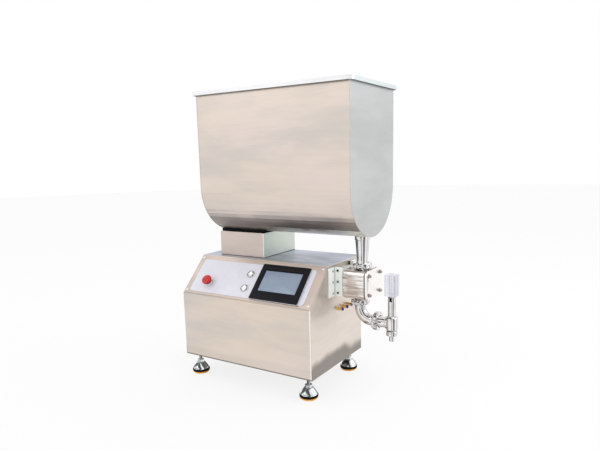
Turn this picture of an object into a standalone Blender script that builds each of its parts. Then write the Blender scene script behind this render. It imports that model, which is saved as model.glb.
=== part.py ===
"""Bench-top liquid filler: a U-trough hopper over a rotary lobe pump, a sloped
control cabinet on levelling feet, and a pneumatic filling valve.

Metres, +Z up. Everything is laid out in the cabinet's own frame: X runs from the
left wall, Y from the front wall to the rear, Z from the floor. The empty
"machine" then puts the middle of the footprint at the world's origin.
"""
import math

import bmesh
import bpy
from mathutils import Matrix, Vector

# Clearances
GAP = 0.0003            # between two fixed pieces that meet face to face
PLAY = 0.0005           # around a shank or a tube in its hole
RUNNING = 0.0005        # between a moving piece and what guides it

# Cabinet
CABINET_WIDTH = 0.560
CABINET_DEPTH = 0.370
CABINET_BASE = 0.080    # height of the underside above the floor
FRONT_HEIGHT = 0.240    # the upright part of the front
SLOPE_RUN = 0.124
SLOPE_RISE = 0.125
SHEET = 0.002
TRAY_SHEET = 0.003
TRAY_LIP = 0.020
SLOPE_RIM = 0.016       # sheet left round the opening under the control plate

# Feet
FOOT_INSET = 0.036
FOOT_RADIUS = 0.0325
PAD_HEIGHT = 0.010
RING_HEIGHT = 0.007
CONE_TOP_RADIUS = 0.013
CONE_HEIGHT = 0.024
NECK_RADIUS = 0.011
NECK_HEIGHT = 0.010
STUD_RADIUS = 0.006
STUD_TOP = 0.120
LOCKNUT_RADIUS = 0.0125
LOCKNUT_HEIGHT = 0.009

# Control panel, measured along the slope from the left wall and its lower edge
PANEL_MARGIN = 0.003
PLATE = 0.0015
OVERLAY = 0.0008
OVERLAY_LEFT = 0.025
OVERLAY_RIGHT = 0.526
OVERLAY_LOW = 0.012
OVERLAY_HIGH = 0.154
OVERLAY_CORNER = 0.011
PLATE_SCREW_INSET = 0.012
PLATE_SCREW_RADIUS = 0.002
PLATE_SCREW_HEAD = 0.0042
SCREEN_CENTRE = (0.4060, 0.0828)
BEZEL_SIZE = (0.2004, 0.1465)
BEZEL_THICKNESS = 0.007
BEZEL_CORNER = 0.005
HOUSING_MARGIN = 0.007  # bezel edge to the body behind the panel
HOUSING_DEPTH = 0.038
GLASS_SIZE = (0.162, 0.092)
GLASS_OFFSET = 0.004    # the glass sits this far above the bezel's middle
GLASS_RECESS = 0.0015
ESTOP_CENTRE = (0.0995, 0.0545)
ESTOP_HEAD_RADIUS = 0.0185
ESTOP_HEAD_HEIGHT = 0.0145
ESTOP_COLLAR_RADIUS = 0.0155
ESTOP_COLLAR_HEIGHT = 0.007
ESTOP_STEM_RADIUS = 0.006
ESTOP_TRAVEL = 0.004
BUTTON_CENTRES = ((0.266, 0.1090), (0.266, 0.0495))
BUTTON_RING_RADIUS = 0.015
BUTTON_RING_HEIGHT = 0.004
BUTTON_CAP_RADIUS = 0.009
BUTTON_CAP_RISE = 0.0035
BARREL_RADIUS = 0.011
BARREL_DEPTH = 0.030

# Pedestal between the cabinet and the hopper
PEDESTAL_LEFT = 0.061
PEDESTAL_LENGTH = 0.206
PEDESTAL_FRONT = 0.158
PEDESTAL_DEPTH = 0.212
PEDESTAL_HEIGHT = 0.092
SADDLE_THICKNESS = 0.003
SADDLE_INSET = 0.002
SADDLE_STEPS = 3        # half width, in steps of the hopper's round bottom

# Hopper
PORT_REACH = 0.080      # from the side wall to the pump's ports, straight under the hopper's outlet
PORT_Y = 0.217
HOPPER_OVERHANG = 0.042  # from the port to the hopper's right end
HOPPER_LENGTH = 0.612
HOPPER_WIDTH = 0.336
HOPPER_DEPTH = 0.5065
HOPPER_SHEET = 0.002
HOPPER_STEPS = 32       # facets in the half-round bottom
RIM_HEIGHT = 0.013
RIM_REACH = 0.012
RIM_INWARD = 0.004
RIM_CORNER = 0.015
OUTLET_RADIUS = 0.0255
OUTLET_DROP = 0.012
OUTLET_LIP = 0.0015     # the straight part's edge over the cone
SHOULDER = 0.064        # height of the cone down to the tube

# Sanitary tube and its clamped joints
TUBE_RADIUS = 0.01905
TUBE_WALL = 0.0015
FERRULE_RADIUS = 0.02525
FERRULE_EDGE = 0.0016
FERRULE_CONE = 0.0027
GASKET = 0.002
CLAMP_RADIUS = 0.0325
CLAMP_HALF_WIDTH = 0.0095
CLAMP_SPLIT = 8         # degrees left open between the jaws
CLAMP_BOLT_RADIUS = 0.003
CLAMP_LUG = 0.007
LUG_MARGIN = 0.0055     # lug round its bolt
LUG_ROOT = 0.004        # lug and hinge set into the ring
BOLT_OFFSET = 0.006     # bolt outside the ring
BOLT_REACH = 0.028
HINGE_HALF = 0.008
HINGE_RISE = 0.003
WING_REACH = 0.0115
WING_HALF = 0.0013

# Pump head
PUMP_Z = 0.380
PUMP_BACK = 0.046       # from the port to the housing's rear face
PUMP_FRONT = 0.033      # from the port to the cover's joint
PUMP_HALF_WIDTH = 0.060
PUMP_HALF_HEIGHT = 0.049
PUMP_CORNER = 0.016
COVER = 0.0117
STUD_Y = 0.044
STUD_Z = 0.033
COVER_STUD_RADIUS = 0.003
COVER_STUD_DEPTH = 0.010
COVER_NUT_RADIUS = 0.0078
COVER_NUT_HEIGHT = 0.011
PITCH_RADIUS = 0.019    # of the rotors and of the timing gears
ROTOR_LENGTH = 0.049
LOBE_STEPS = 10         # points on each of the four cycloid arcs
TIP_CLEARANCE = 0.0006
SHAFT_RADIUS = 0.006
INLET_JOINT_Z = 0.4405
OUTLET_JOINT_Z = 0.3125

# Gear case, through the right wall
CASE_LENGTH = 0.0985
CASE_SIDE = 0.021       # from a bearing's bore to the case's side
CASE_HALF_HEIGHT = 0.046
CASE_CORNER = 0.006
CASE_FRONT_WALL = 0.033
CAVITY_PLAY = 0.002     # round the timing gears
BEARING_RADIUS = 0.016
BEARING_WIDTH = 0.010
TOOTH_COUNT = 20
TOOTH_RISE = 0.0015
TOOTH_ROOT = 0.0021
GEAR_WIDTH = 0.014
GEAR_SETBACK = 0.020    # from the bearings' shoulder to the gears

# Motor
REDUCER_FLANGE = 0.016
REDUCER_LENGTH = 0.080
REDUCER_HALF = 0.030
REDUCER_BORE = 0.032
MOTOR_LENGTH = 0.113
MOTOR_HALF = 0.029
MOTOR_CAP = 0.018
DRIVE_CORNER = 0.006

# Pump brackets on the right wall
BRACKET = 0.004
BRACKET_HEIGHT = 0.102
BRACKET_LIFT = 0.007    # its middle above the pump's axis
BRACKET_FRONT = 0.101   # from the pump's axis to the wall flange's edge
BRACKET_REACH = 0.0325
BRACKET_PITCH = 0.039
WALL_SCREW_Y = 0.079    # from the pump's axis
CASE_SCREW_X = 0.0165   # from the wall
BRACKET_SCREW_RADIUS = 0.0025
BRACKET_SCREW_HEAD = 0.0045
BRACKET_SCREW_LENGTH = 0.011

# Outlet elbow and filling valve
ELBOW_DROP = 0.0645     # outlet joint to the axis of the level leg
ELBOW_REACH = 0.0565    # port axis to the valve joint
BEND_RADIUS = 0.044
DROP_SHIFT = 0.008      # the outlet port behind the inlet port, towards the cabinet
BEND_STEPS = 6
VALVE_STUB = 0.0528     # valve joint to the valve's axis
VALVE_RADIUS = 0.021
VALVE_BELOW = 0.026
VALVE_ABOVE = 0.025
VALVE_CHAMFER = 0.005
VALVE_CHAMBER = 0.0125
SPIGOT_RADIUS = 0.0150
SPIGOT_LENGTH = 0.008
NUT_RADIUS = 0.019
NUT_LIP = 0.005
TIP_RADIUS = 0.0085
TIP_BORE = 0.006
TIP_REACH = 0.020
SEAT_RADIUS = 0.0085
FLANGE_THICKNESS = 0.0042
ROD_RADIUS = 0.004
YOKE_RADIUS = 0.0135
YOKE_WALL = 0.0035
YOKE_HEIGHT = 0.0700
YOKE_SLOT = (0.011, 0.016)
CYLINDER_HALF = 0.020
CYLINDER_HEIGHT = 0.0730
CYLINDER_CORNER = 0.004
CYLINDER_BORE = 0.0165
CYLINDER_END = 0.007
PISTON_THICKNESS = 0.008

# Air fittings on the right wall
FITTING_Z = 0.281
FITTING_PITCH = 0.0350
FITTING_SHIFT = 0.011   # their middle behind the pump's axis
FITTING_RADIUS = 0.0072
FITTING_TUBE = 0.006
FITTING_COLLAR = 0.0066
FITTING_BORE = 0.004
THREAD_RADIUS = 0.0048

# Rear wall
GLAND_X = 0.090
GLAND_Z = 0.130
GLAND_RADIUS = 0.010
VENT_COUNT = 6
VENT_SIZE = (0.090, 0.005)
VENT_PITCH = 0.014
VENT_X = 0.380
VENT_Z = 0.300

# Control module on the tray
MODULE_LEFT = 0.150
MODULE_PLATE = (0.170, 0.002, 0.150)
MODULE_STANDOFF = 0.018
MODULE_UNITS = ((0.008, 0.076, 0.095, 0.012, 0.142), (0.090, 0.162, 0.060, 0.030, 0.125))

# Places that follow from the sizes above
FRONT_TOP = CABINET_BASE + FRONT_HEIGHT
CABINET_TOP = FRONT_TOP + SLOPE_RISE
SLOPE_LENGTH = math.hypot(SLOPE_RUN, SLOPE_RISE)
WALL_FACE = CABINET_WIDTH + GAP
PORT_X = CABINET_WIDTH + PORT_REACH
DROP_X = PORT_X - DROP_SHIFT
CASE_HALF_WIDTH = PITCH_RADIUS + BEARING_RADIUS + CASE_SIDE
CAVITY_RADIUS = PITCH_RADIUS + TOOTH_RISE + CAVITY_PLAY
PEDESTAL_TOP = CABINET_TOP + GAP + PEDESTAL_HEIGHT
HOPPER_BOTTOM = PEDESTAL_TOP + GAP + SADDLE_THICKNESS + GAP
HOPPER_RADIUS = HOPPER_WIDTH / 2
HOPPER_AXIS_Z = HOPPER_BOTTOM + HOPPER_RADIUS
HOPPER_TOP = HOPPER_BOTTOM + HOPPER_DEPTH
HOPPER_RIGHT = PORT_X + HOPPER_OVERHANG
HOPPER_LEFT = HOPPER_RIGHT - HOPPER_LENGTH
TUBE_BORE = TUBE_RADIUS - TUBE_WALL
DRIVE_Y = PORT_Y + PITCH_RADIUS
IDLER_Y = PORT_Y - PITCH_RADIUS
HOUSING_BACK = PORT_X - PUMP_BACK
HOUSING_FRONT = PORT_X + PUMP_FRONT
CASE_FRONT = HOUSING_BACK - GAP
CASE_BACK = CASE_FRONT - CASE_LENGTH
BEARING_SHOULDER = CASE_FRONT - CASE_FRONT_WALL + BEARING_WIDTH + PLAY
FLANGE_FRONT = CASE_BACK - GAP
ROTOR_FRONT = HOUSING_FRONT - RUNNING
ROTOR_BACK = ROTOR_FRONT - ROTOR_LENGTH
CHAMBER_BACK = ROTOR_BACK - RUNNING
CHAMBER_RADIUS = PITCH_RADIUS * 1.5 + RUNNING
VALVE_JOINT_X = PORT_X + ELBOW_REACH
VALVE_X = VALVE_JOINT_X + VALVE_STUB
VALVE_Z = OUTLET_JOINT_Z - ELBOW_DROP
VALVE_FOOT = VALVE_Z - VALVE_BELOW
VALVE_TOP = VALVE_Z + VALVE_ABOVE
YOKE_FOOT = VALVE_TOP + GAP
YOKE_TOP = YOKE_FOOT + YOKE_HEIGHT
CYLINDER_FOOT = YOKE_TOP + GAP
SPIGOT_FOOT = VALVE_FOOT - SPIGOT_LENGTH
FLANGE_TOP = SPIGOT_FOOT - GAP
FLANGE_FOOT = FLANGE_TOP - FLANGE_THICKNESS
NUT_TOP = VALVE_FOOT - GAP
NUT_FOOT = FLANGE_FOOT - GAP - NUT_LIP
TIP_END = NUT_FOOT - TIP_REACH
FOOTPRINT_RIGHT = VALVE_X + max(CYLINDER_HALF, VALVE_RADIUS)
FOOTPRINT_BACK = PORT_Y + HOPPER_RADIUS + RIM_REACH

ROUND = 16              # facets of a round piece
SMALL = 8               # facets of a small round piece
SHAFT_SIDES = 12        # facets of the shafts and of what fits on them
BEARING_SIDES = 14
CORNER_STEPS = 3        # facets in a rounded corner

STEEL = ((0.66, 0.62, 0.57), 0.32, 1.0)
POLISHED = ((0.80, 0.79, 0.78), 0.14, 1.0)
ZINC = ((0.60, 0.61, 0.62), 0.38, 1.0)
PALE = ((0.80, 0.81, 0.79), 0.45, 0.2)
WHITE = ((0.78, 0.78, 0.84), 0.50, 0.0)
BLACK = ((0.02, 0.02, 0.025), 0.40, 0.0)
GLASS = ((0.28, 0.34, 0.42), 0.15, 0.0)
RED = ((0.65, 0.04, 0.03), 0.35, 0.0)
RUBBER = ((0.03, 0.03, 0.03), 0.80, 0.0)
BRASS = ((0.72, 0.52, 0.20), 0.30, 1.0)
IRON = ((0.22, 0.23, 0.24), 0.55, 0.6)


# ---------------------------------------------------------------- outlines

def turned_point(radius, angle, centre=(0.0, 0.0)):
    return (centre[0] + radius * math.cos(angle), centre[1] + radius * math.sin(angle))


def arc(radius, start, end, steps, centre=(0.0, 0.0)):
    """Points on an arc, both ends included; angles in degrees."""
    angles = [math.radians(start + (end - start) * i / steps) for i in range(steps + 1)]
    return [turned_point(radius, angle, centre) for angle in angles]


def ring_of_points(radius, count, turn=0.0):
    return arc(radius, turn, turn + 360, count)[:-1]


def rounded_rectangle(low, high, corner, steps=CORNER_STEPS):
    """Corners at low and high, each rounded by an arc."""
    x0, y0 = low[0] + corner, low[1] + corner
    x1, y1 = high[0] - corner, high[1] - corner
    points = arc(corner, 180, 270, steps, (x0, y0))
    points += arc(corner, 270, 360, steps, (x1, y0))
    points += arc(corner, 0, 90, steps, (x1, y1))
    points += arc(corner, 90, 180, steps, (x0, y1))
    return points


def rectangle(low, high):
    return [low, (high[0], low[1]), high, (low[0], high[1])]


def centred(half_width, half_height, corner, centre=(0.0, 0.0), steps=CORNER_STEPS):
    low = (centre[0] - half_width, centre[1] - half_height)
    high = (centre[0] + half_width, centre[1] + half_height)
    return rounded_rectangle(low, high, corner, steps)


def bent_strip(line, thickness):
    """A sheet bent along a line: the line, and its offset to the right."""
    inner = []
    for i, here in enumerate(line):
        before = Vector(line[max(i - 1, 0)])
        after = Vector(line[min(i + 1, len(line) - 1)])
        into = Vector(here) - before if i > 0 else after - Vector(here)
        out = after - Vector(here) if i < len(line) - 1 else into
        into.normalize()
        out.normalize()
        side = Vector((into.y, -into.x)) + Vector((out.y, -out.x))
        side = side / side.length
        reach = thickness / side.dot(Vector((into.y, -into.x)))
        inner.append((here[0] + side.x * reach, here[1] + side.y * reach))
    return list(line) + inner[::-1]


def figure_eight(radius, half_pitch, steps):
    """Outline of two equal circles that overlap, side by side."""
    waist = math.degrees(math.acos(half_pitch / radius))
    right = arc(radius, waist - 180, 180 - waist, steps, (half_pitch, 0.0))
    left = arc(radius, waist, 360 - waist, steps, (-half_pitch, 0.0))
    return right + left[1:-1]


def lobe_outline():
    """Two cycloid lobes: tips on the first axis, waists on the second."""
    small = PITCH_RADIUS / 4
    points = []
    for quarter in range(4):
        sign = 1 if quarter % 2 == 0 else -1
        start = math.radians(90 * quarter - 45)
        for i in range(LOBE_STEPS):
            roll = math.radians(90) * i / LOBE_STEPS
            reach = PITCH_RADIUS + sign * small
            spin = reach / small * roll
            x = reach * math.cos(roll) - sign * small * math.cos(spin)
            y = reach * math.sin(roll) - small * math.sin(spin)
            points.append((x * math.cos(start) - y * math.sin(start),
                           x * math.sin(start) + y * math.cos(start)))
    return shrunk(points, TIP_CLEARANCE / 2)


def shrunk(points, margin):
    """The outline moved inward by the margin."""
    result = []
    for i, here in enumerate(points):
        before = points[i - 1]
        after = points[(i + 1) % len(points)]
        along = Vector((after[0] - before[0], after[1] - before[1])).normalized()
        result.append((here[0] - along.y * margin, here[1] + along.x * margin))
    return result


def gear_outline(turn):
    """Straight-flanked teeth, thinner than their gaps so that the mesh runs free."""
    pitch = 360 / TOOTH_COUNT
    flanks = ((-0.29, -TOOTH_ROOT), (-0.13, TOOTH_RISE), (0.13, TOOTH_RISE), (0.29, -TOOTH_ROOT))
    points = []
    for tooth in range(TOOTH_COUNT):
        for share, rise in flanks:
            angle = math.radians(turn + (tooth + share) * pitch)
            points.append(turned_point(PITCH_RADIUS + rise, angle))
    return points


# ---------------------------------------------------------------- solids

def add_loft(bm, loops, closed=False):
    """Skin successive loops of points; a closed loft runs round to its start."""
    rows = [[bm.verts.new(point) for point in loop] for loop in loops]
    count = len(rows[0])
    pairs = list(zip(rows, rows[1:]))
    if closed:
        pairs.append((rows[-1], rows[0]))
    else:
        bm.faces.new(rows[0][::-1])
        bm.faces.new(rows[-1])
    for lower, upper in pairs:
        for i in range(count):
            j = (i + 1) % count
            bm.faces.new((lower[i], lower[j], upper[j], upper[i]))


def on_axis(point, height, axis, centre=(0.0, 0.0, 0.0)):
    """A point of an outline across an axis, at a height along it.

    Across X the outline is (y, z), across Y it is (x, z), across Z it is (x, y).
    """
    a, b = point
    place = {"X": (height, a, b), "Y": (a, height, b), "Z": (a, b, height)}[axis]
    return tuple(place[i] + centre[i] for i in range(3))


def add_prism(bm, outline, low, high, axis="Z", centre=(0.0, 0.0, 0.0)):
    loops = [[on_axis(point, height, axis, centre) for point in outline] for height in (low, high)]
    add_loft(bm, loops)


def add_box(bm, low, high):
    add_prism(bm, rectangle((low[0], low[1]), (high[0], high[1])), low[2], high[2])


def add_turned(bm, profile, axis="Z", centre=(0.0, 0.0, 0.0), count=ROUND, hollow=False, turn=0.0):
    """Turn a profile of (radius, height) about an axis; a hollow one is a closed ring."""
    loops = []
    for radius, height in profile:
        loop = [on_axis(point, height, axis, centre) for point in ring_of_points(radius, count, turn)]
        loops.append(loop)
    add_loft(bm, loops, closed=hollow)


def add_sector(bm, profile, start, end, steps):
    """Turn a closed profile part of the way round Z."""
    loops = []
    for i in range(steps + 1):
        angle = math.radians(start + (end - start) * i / steps)
        loops.append([(*turned_point(radius, angle), height) for radius, height in profile])
    add_loft(bm, loops)


def add_levels(bm, levels, axis):
    """Loft through outlines, each at its place along an axis."""
    add_loft(bm, [[on_axis(point, height, axis) for point in outline] for outline, height in levels])


def add_rod(bm, radius, low, high, axis, centre, count=SMALL):
    add_turned(bm, [(radius, low), (radius, high)], axis, centre, count)


def make(name, bm, finish, parent, origin=(0.0, 0.0, 0.0)):
    """Turn a bmesh into a named object with its own finish; origin is where it turns or slides."""
    bmesh.ops.recalc_face_normals(bm, faces=bm.faces)
    bmesh.ops.translate(bm, verts=bm.verts, vec=-Vector(origin))
    mesh = bpy.data.meshes.new(name)
    bm.to_mesh(mesh)
    bm.free()
    mesh.shade_smooth()
    mesh.set_sharp_from_angle(angle=math.radians(32))
    piece = bpy.data.objects.new(name, mesh)
    bpy.context.scene.collection.objects.link(piece)
    piece.parent = parent
    piece.location = origin
    if finish:
        mesh.materials.append(make_material(name, finish))
    return piece


def make_material(name, finish):
    colour, roughness, metallic = finish
    material = bpy.data.materials.new(name + "_finish")
    material.use_nodes = True
    shader = material.node_tree.nodes["Principled BSDF"]
    shader.inputs["Base Color"].default_value = (*colour, 1.0)
    shader.inputs["Roughness"].default_value = roughness
    shader.inputs["Metallic"].default_value = metallic
    material.diffuse_color = (*colour, 1.0)
    return material


def make_tool(name, bm, parent):
    """A guide solid for a Boolean: drawn as wire and never rendered."""
    tool = make(name, bm, None, parent)
    tool.hide_render = True
    tool.display_type = "WIRE"
    return tool


def boolean(piece, tool, operation="DIFFERENCE"):
    modifier = piece.modifiers.new(tool.name, "BOOLEAN")
    modifier.operation = operation
    modifier.solver = "EXACT"
    modifier.object = tool


def cut_rod(piece, name, radius, low, high, axis, centre, parent, count=SMALL):
    bm = bmesh.new()
    add_rod(bm, radius, low, high, axis, centre, count)
    boolean(piece, make_tool(name, bm, parent))


def make_empty(name, parent, place):
    empty = bpy.data.objects.new(name, None)
    empty.empty_display_size = 0.05
    empty.parent = parent
    empty.matrix_local = place
    bpy.context.scene.collection.objects.link(empty)
    return empty


# ---------------------------------------------------------------- cabinet

def side_outline():
    return [(0.0, CABINET_BASE), (0.0, FRONT_TOP), (SLOPE_RUN, CABINET_TOP),
            (CABINET_DEPTH, CABINET_TOP), (CABINET_DEPTH, CABINET_BASE)]


def foot_places():
    across = (("left", FOOT_INSET), ("right", CABINET_WIDTH - FOOT_INSET))
    along = (("front", FOOT_INSET), ("rear", CABINET_DEPTH - FOOT_INSET))
    return [(f"{row}_{side}", (x, y, 0.0)) for row, y in along for side, x in across]


def make_cabinet(machine, slope, bracket_bores, panel_bores):
    inner_left = SHEET + GAP
    inner_right = CABINET_WIDTH - SHEET - GAP

    bm = bmesh.new()
    line = [(0.0, CABINET_BASE), (0.0, FRONT_TOP), (SLOPE_RUN, CABINET_TOP), (CABINET_DEPTH, CABINET_TOP)]
    add_prism(bm, bent_strip(line, SHEET), inner_left, inner_right, "X")
    wrap = make("cabinet_wrap", bm, STEEL, machine)
    bm = bmesh.new()
    low = (SLOPE_RIM + SHEET, SLOPE_RIM)
    high = (CABINET_WIDTH - SLOPE_RIM - SHEET, SLOPE_LENGTH - SLOPE_RIM)
    add_prism(bm, rectangle(low, high), -SLOPE_RIM, SLOPE_RIM)
    boolean(wrap, make_tool("tool_slope_opening", bm, slope))
    boolean(wrap, panel_bores)

    for name, face in (("side_panel_left", 0.0), ("side_panel_right", CABINET_WIDTH - SHEET)):
        bm = bmesh.new()
        add_prism(bm, side_outline(), face, face + SHEET, "X")
        panel = make(name, bm, STEEL, machine)
    cut_right_panel(panel, machine, bracket_bores)

    bm = bmesh.new()
    front = SHEET + GAP
    back = CABINET_DEPTH - SHEET - GAP
    lip = CABINET_BASE + TRAY_LIP
    floor = CABINET_BASE + TRAY_SHEET
    outline = [(front, CABINET_BASE), (back, CABINET_BASE), (back, lip), (back - TRAY_SHEET, lip),
               (back - TRAY_SHEET, floor), (front + TRAY_SHEET, floor), (front + TRAY_SHEET, lip), (front, lip)]
    add_prism(bm, outline, inner_left, inner_right, "X")
    tray = make("base_tray", bm, STEEL, machine)
    nuts = bmesh.new()
    holes = bmesh.new()
    nut_foot = CABINET_BASE - LOCKNUT_HEIGHT
    for _, place in foot_places():
        add_rod(nuts, LOCKNUT_RADIUS, nut_foot, CABINET_BASE + TRAY_SHEET / 2, "Z", place, 6)
        add_rod(holes, STUD_RADIUS + PLAY, nut_foot - SHEET, floor + SHEET, "Z", place, ROUND)
    boolean(tray, make_tool("tool_foot_nuts", nuts, machine), "UNION")
    boolean(tray, make_tool("tool_foot_holes", holes, machine))

    bm = bmesh.new()
    outline = rectangle((inner_left, CABINET_BASE), (inner_right, CABINET_TOP - SHEET - GAP))
    add_prism(bm, outline, CABINET_DEPTH - SHEET, CABINET_DEPTH, "Y")
    rear = make("rear_panel", bm, STEEL, machine)
    bm = bmesh.new()
    for i in range(VENT_COUNT):
        low = VENT_Z + i * VENT_PITCH
        slot = rectangle((VENT_X, low), (VENT_X + VENT_SIZE[0], low + VENT_SIZE[1]))
        add_prism(bm, slot, CABINET_DEPTH - 2 * SHEET, CABINET_DEPTH + SHEET, "Y")
    profile = [(GLAND_RADIUS * 0.6 + PLAY, -2 * SHEET), (GLAND_RADIUS * 0.6 + PLAY, SHEET)]
    add_turned(bm, profile, "Y", (GLAND_X, CABINET_DEPTH, GLAND_Z), SMALL)
    boolean(rear, make_tool("tool_rear_holes", bm, machine))

    make_gland(machine)
    make_module(machine)


def cut_right_panel(panel, machine, bracket_bores):
    bm = bmesh.new()
    opening = centred(CASE_HALF_WIDTH + PLAY, CASE_HALF_HEIGHT + PLAY, CASE_CORNER, (PORT_Y, PUMP_Z))
    add_prism(bm, opening, CABINET_WIDTH - 2 * SHEET, CABINET_WIDTH + SHEET, "X")
    for centre in fitting_places():
        profile = [(THREAD_RADIUS + PLAY, -2 * SHEET), (THREAD_RADIUS + PLAY, SHEET)]
        add_turned(bm, profile, "X", centre, SMALL)
    boolean(panel, make_tool("tool_wall_openings", bm, machine))
    boolean(panel, bracket_bores)


def make_gland(machine):
    """Cable gland through the rear wall, its cable left off."""
    neck = GLAND_RADIUS * 0.6
    bore = GLAND_RADIUS * 0.35
    profile = [(bore, -0.012), (neck, -0.012), (neck, GAP), (GLAND_RADIUS, GAP), (GLAND_RADIUS, 0.008),
               (GLAND_RADIUS * 0.85, 0.009), (GLAND_RADIUS * 0.75, 0.018), (bore, 0.018)]
    bm = bmesh.new()
    add_turned(bm, profile, "Y", (GLAND_X, CABINET_DEPTH, GLAND_Z), SMALL, hollow=True)
    make("cable_gland", bm, BLACK, machine)


def make_module(machine):
    """Mounting plate with the servo drive and the controller, standing on the tray."""
    width, thickness, height = MODULE_PLATE
    foot = CABINET_BASE + TRAY_SHEET + GAP
    back = CABINET_DEPTH - SHEET - MODULE_STANDOFF
    front = back - thickness
    middle = front + thickness / 2
    bm = bmesh.new()
    add_box(bm, (MODULE_LEFT, front, foot), (MODULE_LEFT + width, back, foot + height))
    module = make("control_module", bm, IRON, machine)
    bm = bmesh.new()
    for left, right, depth, low, high in MODULE_UNITS:
        add_box(bm, (MODULE_LEFT + left, front - depth, foot + low), (MODULE_LEFT + right, middle, foot + high))
    boolean(module, make_tool("tool_module_units", bm, machine), "UNION")


def make_feet(machine):
    """Each foot is one turned piece: pad, ring, cone, neck and threaded stud."""
    ring_top = PAD_HEIGHT + RING_HEIGHT
    cone_top = ring_top + CONE_HEIGHT
    neck_top = cone_top + NECK_HEIGHT
    profile = [(FOOT_RADIUS - 0.006, 0.0), (FOOT_RADIUS - 0.001, 0.005), (FOOT_RADIUS - 0.001, PAD_HEIGHT),
               (FOOT_RADIUS, PAD_HEIGHT + 0.001), (FOOT_RADIUS, ring_top - 0.001), (FOOT_RADIUS - 0.002, ring_top),
               (CONE_TOP_RADIUS, cone_top), (NECK_RADIUS, cone_top + 0.001), (NECK_RADIUS, neck_top),
               (STUD_RADIUS, neck_top), (STUD_RADIUS, STUD_TOP)]
    for name, place in foot_places():
        bm = bmesh.new()
        add_turned(bm, profile, "Z", place)
        make("foot_" + name, bm, POLISHED, machine, place)


# ---------------------------------------------------------------- control panel

def screw_places():
    low = PANEL_MARGIN + PLATE_SCREW_INSET
    right = CABINET_WIDTH - low
    high = SLOPE_LENGTH - low
    return [(x, y) for x in (low, right) for y in (low, high)]


def make_panel_bores(slope):
    """The four screw holes through the sheet under the control plate."""
    bm = bmesh.new()
    for x, y in screw_places():
        profile = [(PLATE_SCREW_RADIUS + PLAY, -0.010), (PLATE_SCREW_RADIUS + PLAY, 0.010)]
        add_turned(bm, profile, "Z", (x, y, 0.0), SMALL)
    return make_tool("tool_plate_screw_holes", bm, slope)


def make_control_panel(slope):
    plate_low = GAP
    plate_top = plate_low + PLATE
    overlay_low = plate_top + GAP
    overlay_top = overlay_low + OVERLAY

    bm = bmesh.new()
    high = (CABINET_WIDTH - PANEL_MARGIN, SLOPE_LENGTH - PANEL_MARGIN)
    add_prism(bm, rectangle((PANEL_MARGIN, PANEL_MARGIN), high), plate_low, plate_top)
    plate = make("control_plate", bm, STEEL, slope)
    bm = bmesh.new()
    outline = rounded_rectangle((OVERLAY_LEFT, OVERLAY_LOW), (OVERLAY_RIGHT, OVERLAY_HIGH), OVERLAY_CORNER)
    add_prism(bm, outline, overlay_low, overlay_top)
    overlay = make("overlay_panel", bm, WHITE, slope)

    bm = bmesh.new()
    half = [size / 2 - HOUSING_MARGIN + PLAY for size in BEZEL_SIZE]
    add_prism(bm, centred(half[0], half[1], BEZEL_CORNER, SCREEN_CENTRE), -0.010, 0.010)
    for x, y in (ESTOP_CENTRE, *BUTTON_CENTRES):
        add_turned(bm, [(BARREL_RADIUS + PLAY, -0.010), (BARREL_RADIUS + PLAY, 0.010)], "Z", (x, y, 0.0))
    cutouts = make_tool("tool_panel_cutouts", bm, slope)
    for piece in (plate, overlay):
        boolean(piece, cutouts)
    bm = bmesh.new()
    sunk = plate_top - PLATE / 2
    profile = [(PLATE_SCREW_RADIUS, -SHEET - 0.003), (PLATE_SCREW_RADIUS, sunk), (PLATE_SCREW_HEAD, sunk),
               (PLATE_SCREW_HEAD, plate_top + 0.001), (PLATE_SCREW_HEAD * 0.6, plate_top + 0.002)]
    for x, y in screw_places():
        add_turned(bm, profile, "Z", (x, y, 0.0), SMALL)
    boolean(plate, make_tool("tool_plate_screws", bm, slope), "UNION")

    face = overlay_top + GAP
    make_screen(slope, face)
    make_estop(slope, face)
    make_buttons(slope, face)


def make_screen(slope, face):
    """Touch screen: a bezel on the panel, its body behind, and the glass let into the front."""
    top = face + BEZEL_THICKNESS
    floor = top - GLASS_RECESS
    glass_centre = (SCREEN_CENTRE[0], SCREEN_CENTRE[1] + GLASS_OFFSET)
    glass = [size / 2 for size in GLASS_SIZE]
    bezel = [size / 2 for size in BEZEL_SIZE]
    body = [size - HOUSING_MARGIN for size in bezel]
    recess = centred(glass[0] + PLAY, glass[1] + PLAY, 0.002, glass_centre)
    rim = centred(bezel[0] - 0.002, bezel[1] - 0.002, BEZEL_CORNER, SCREEN_CENTRE)
    edge = centred(*bezel, BEZEL_CORNER, SCREEN_CENTRE)
    back = centred(*body, BEZEL_CORNER, SCREEN_CENTRE)
    levels = [(recess, floor), (recess, top), (rim, top), (edge, top - 0.002), (edge, face), (back, face),
              (back, face - HOUSING_DEPTH)]
    bm = bmesh.new()
    add_levels(bm, levels, "Z")
    make("hmi_housing", bm, BLACK, slope)

    bm = bmesh.new()
    add_prism(bm, centred(*glass, 0.002, glass_centre), floor + GAP, top - GAP)
    make("hmi_screen", bm, GLASS, slope)


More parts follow.
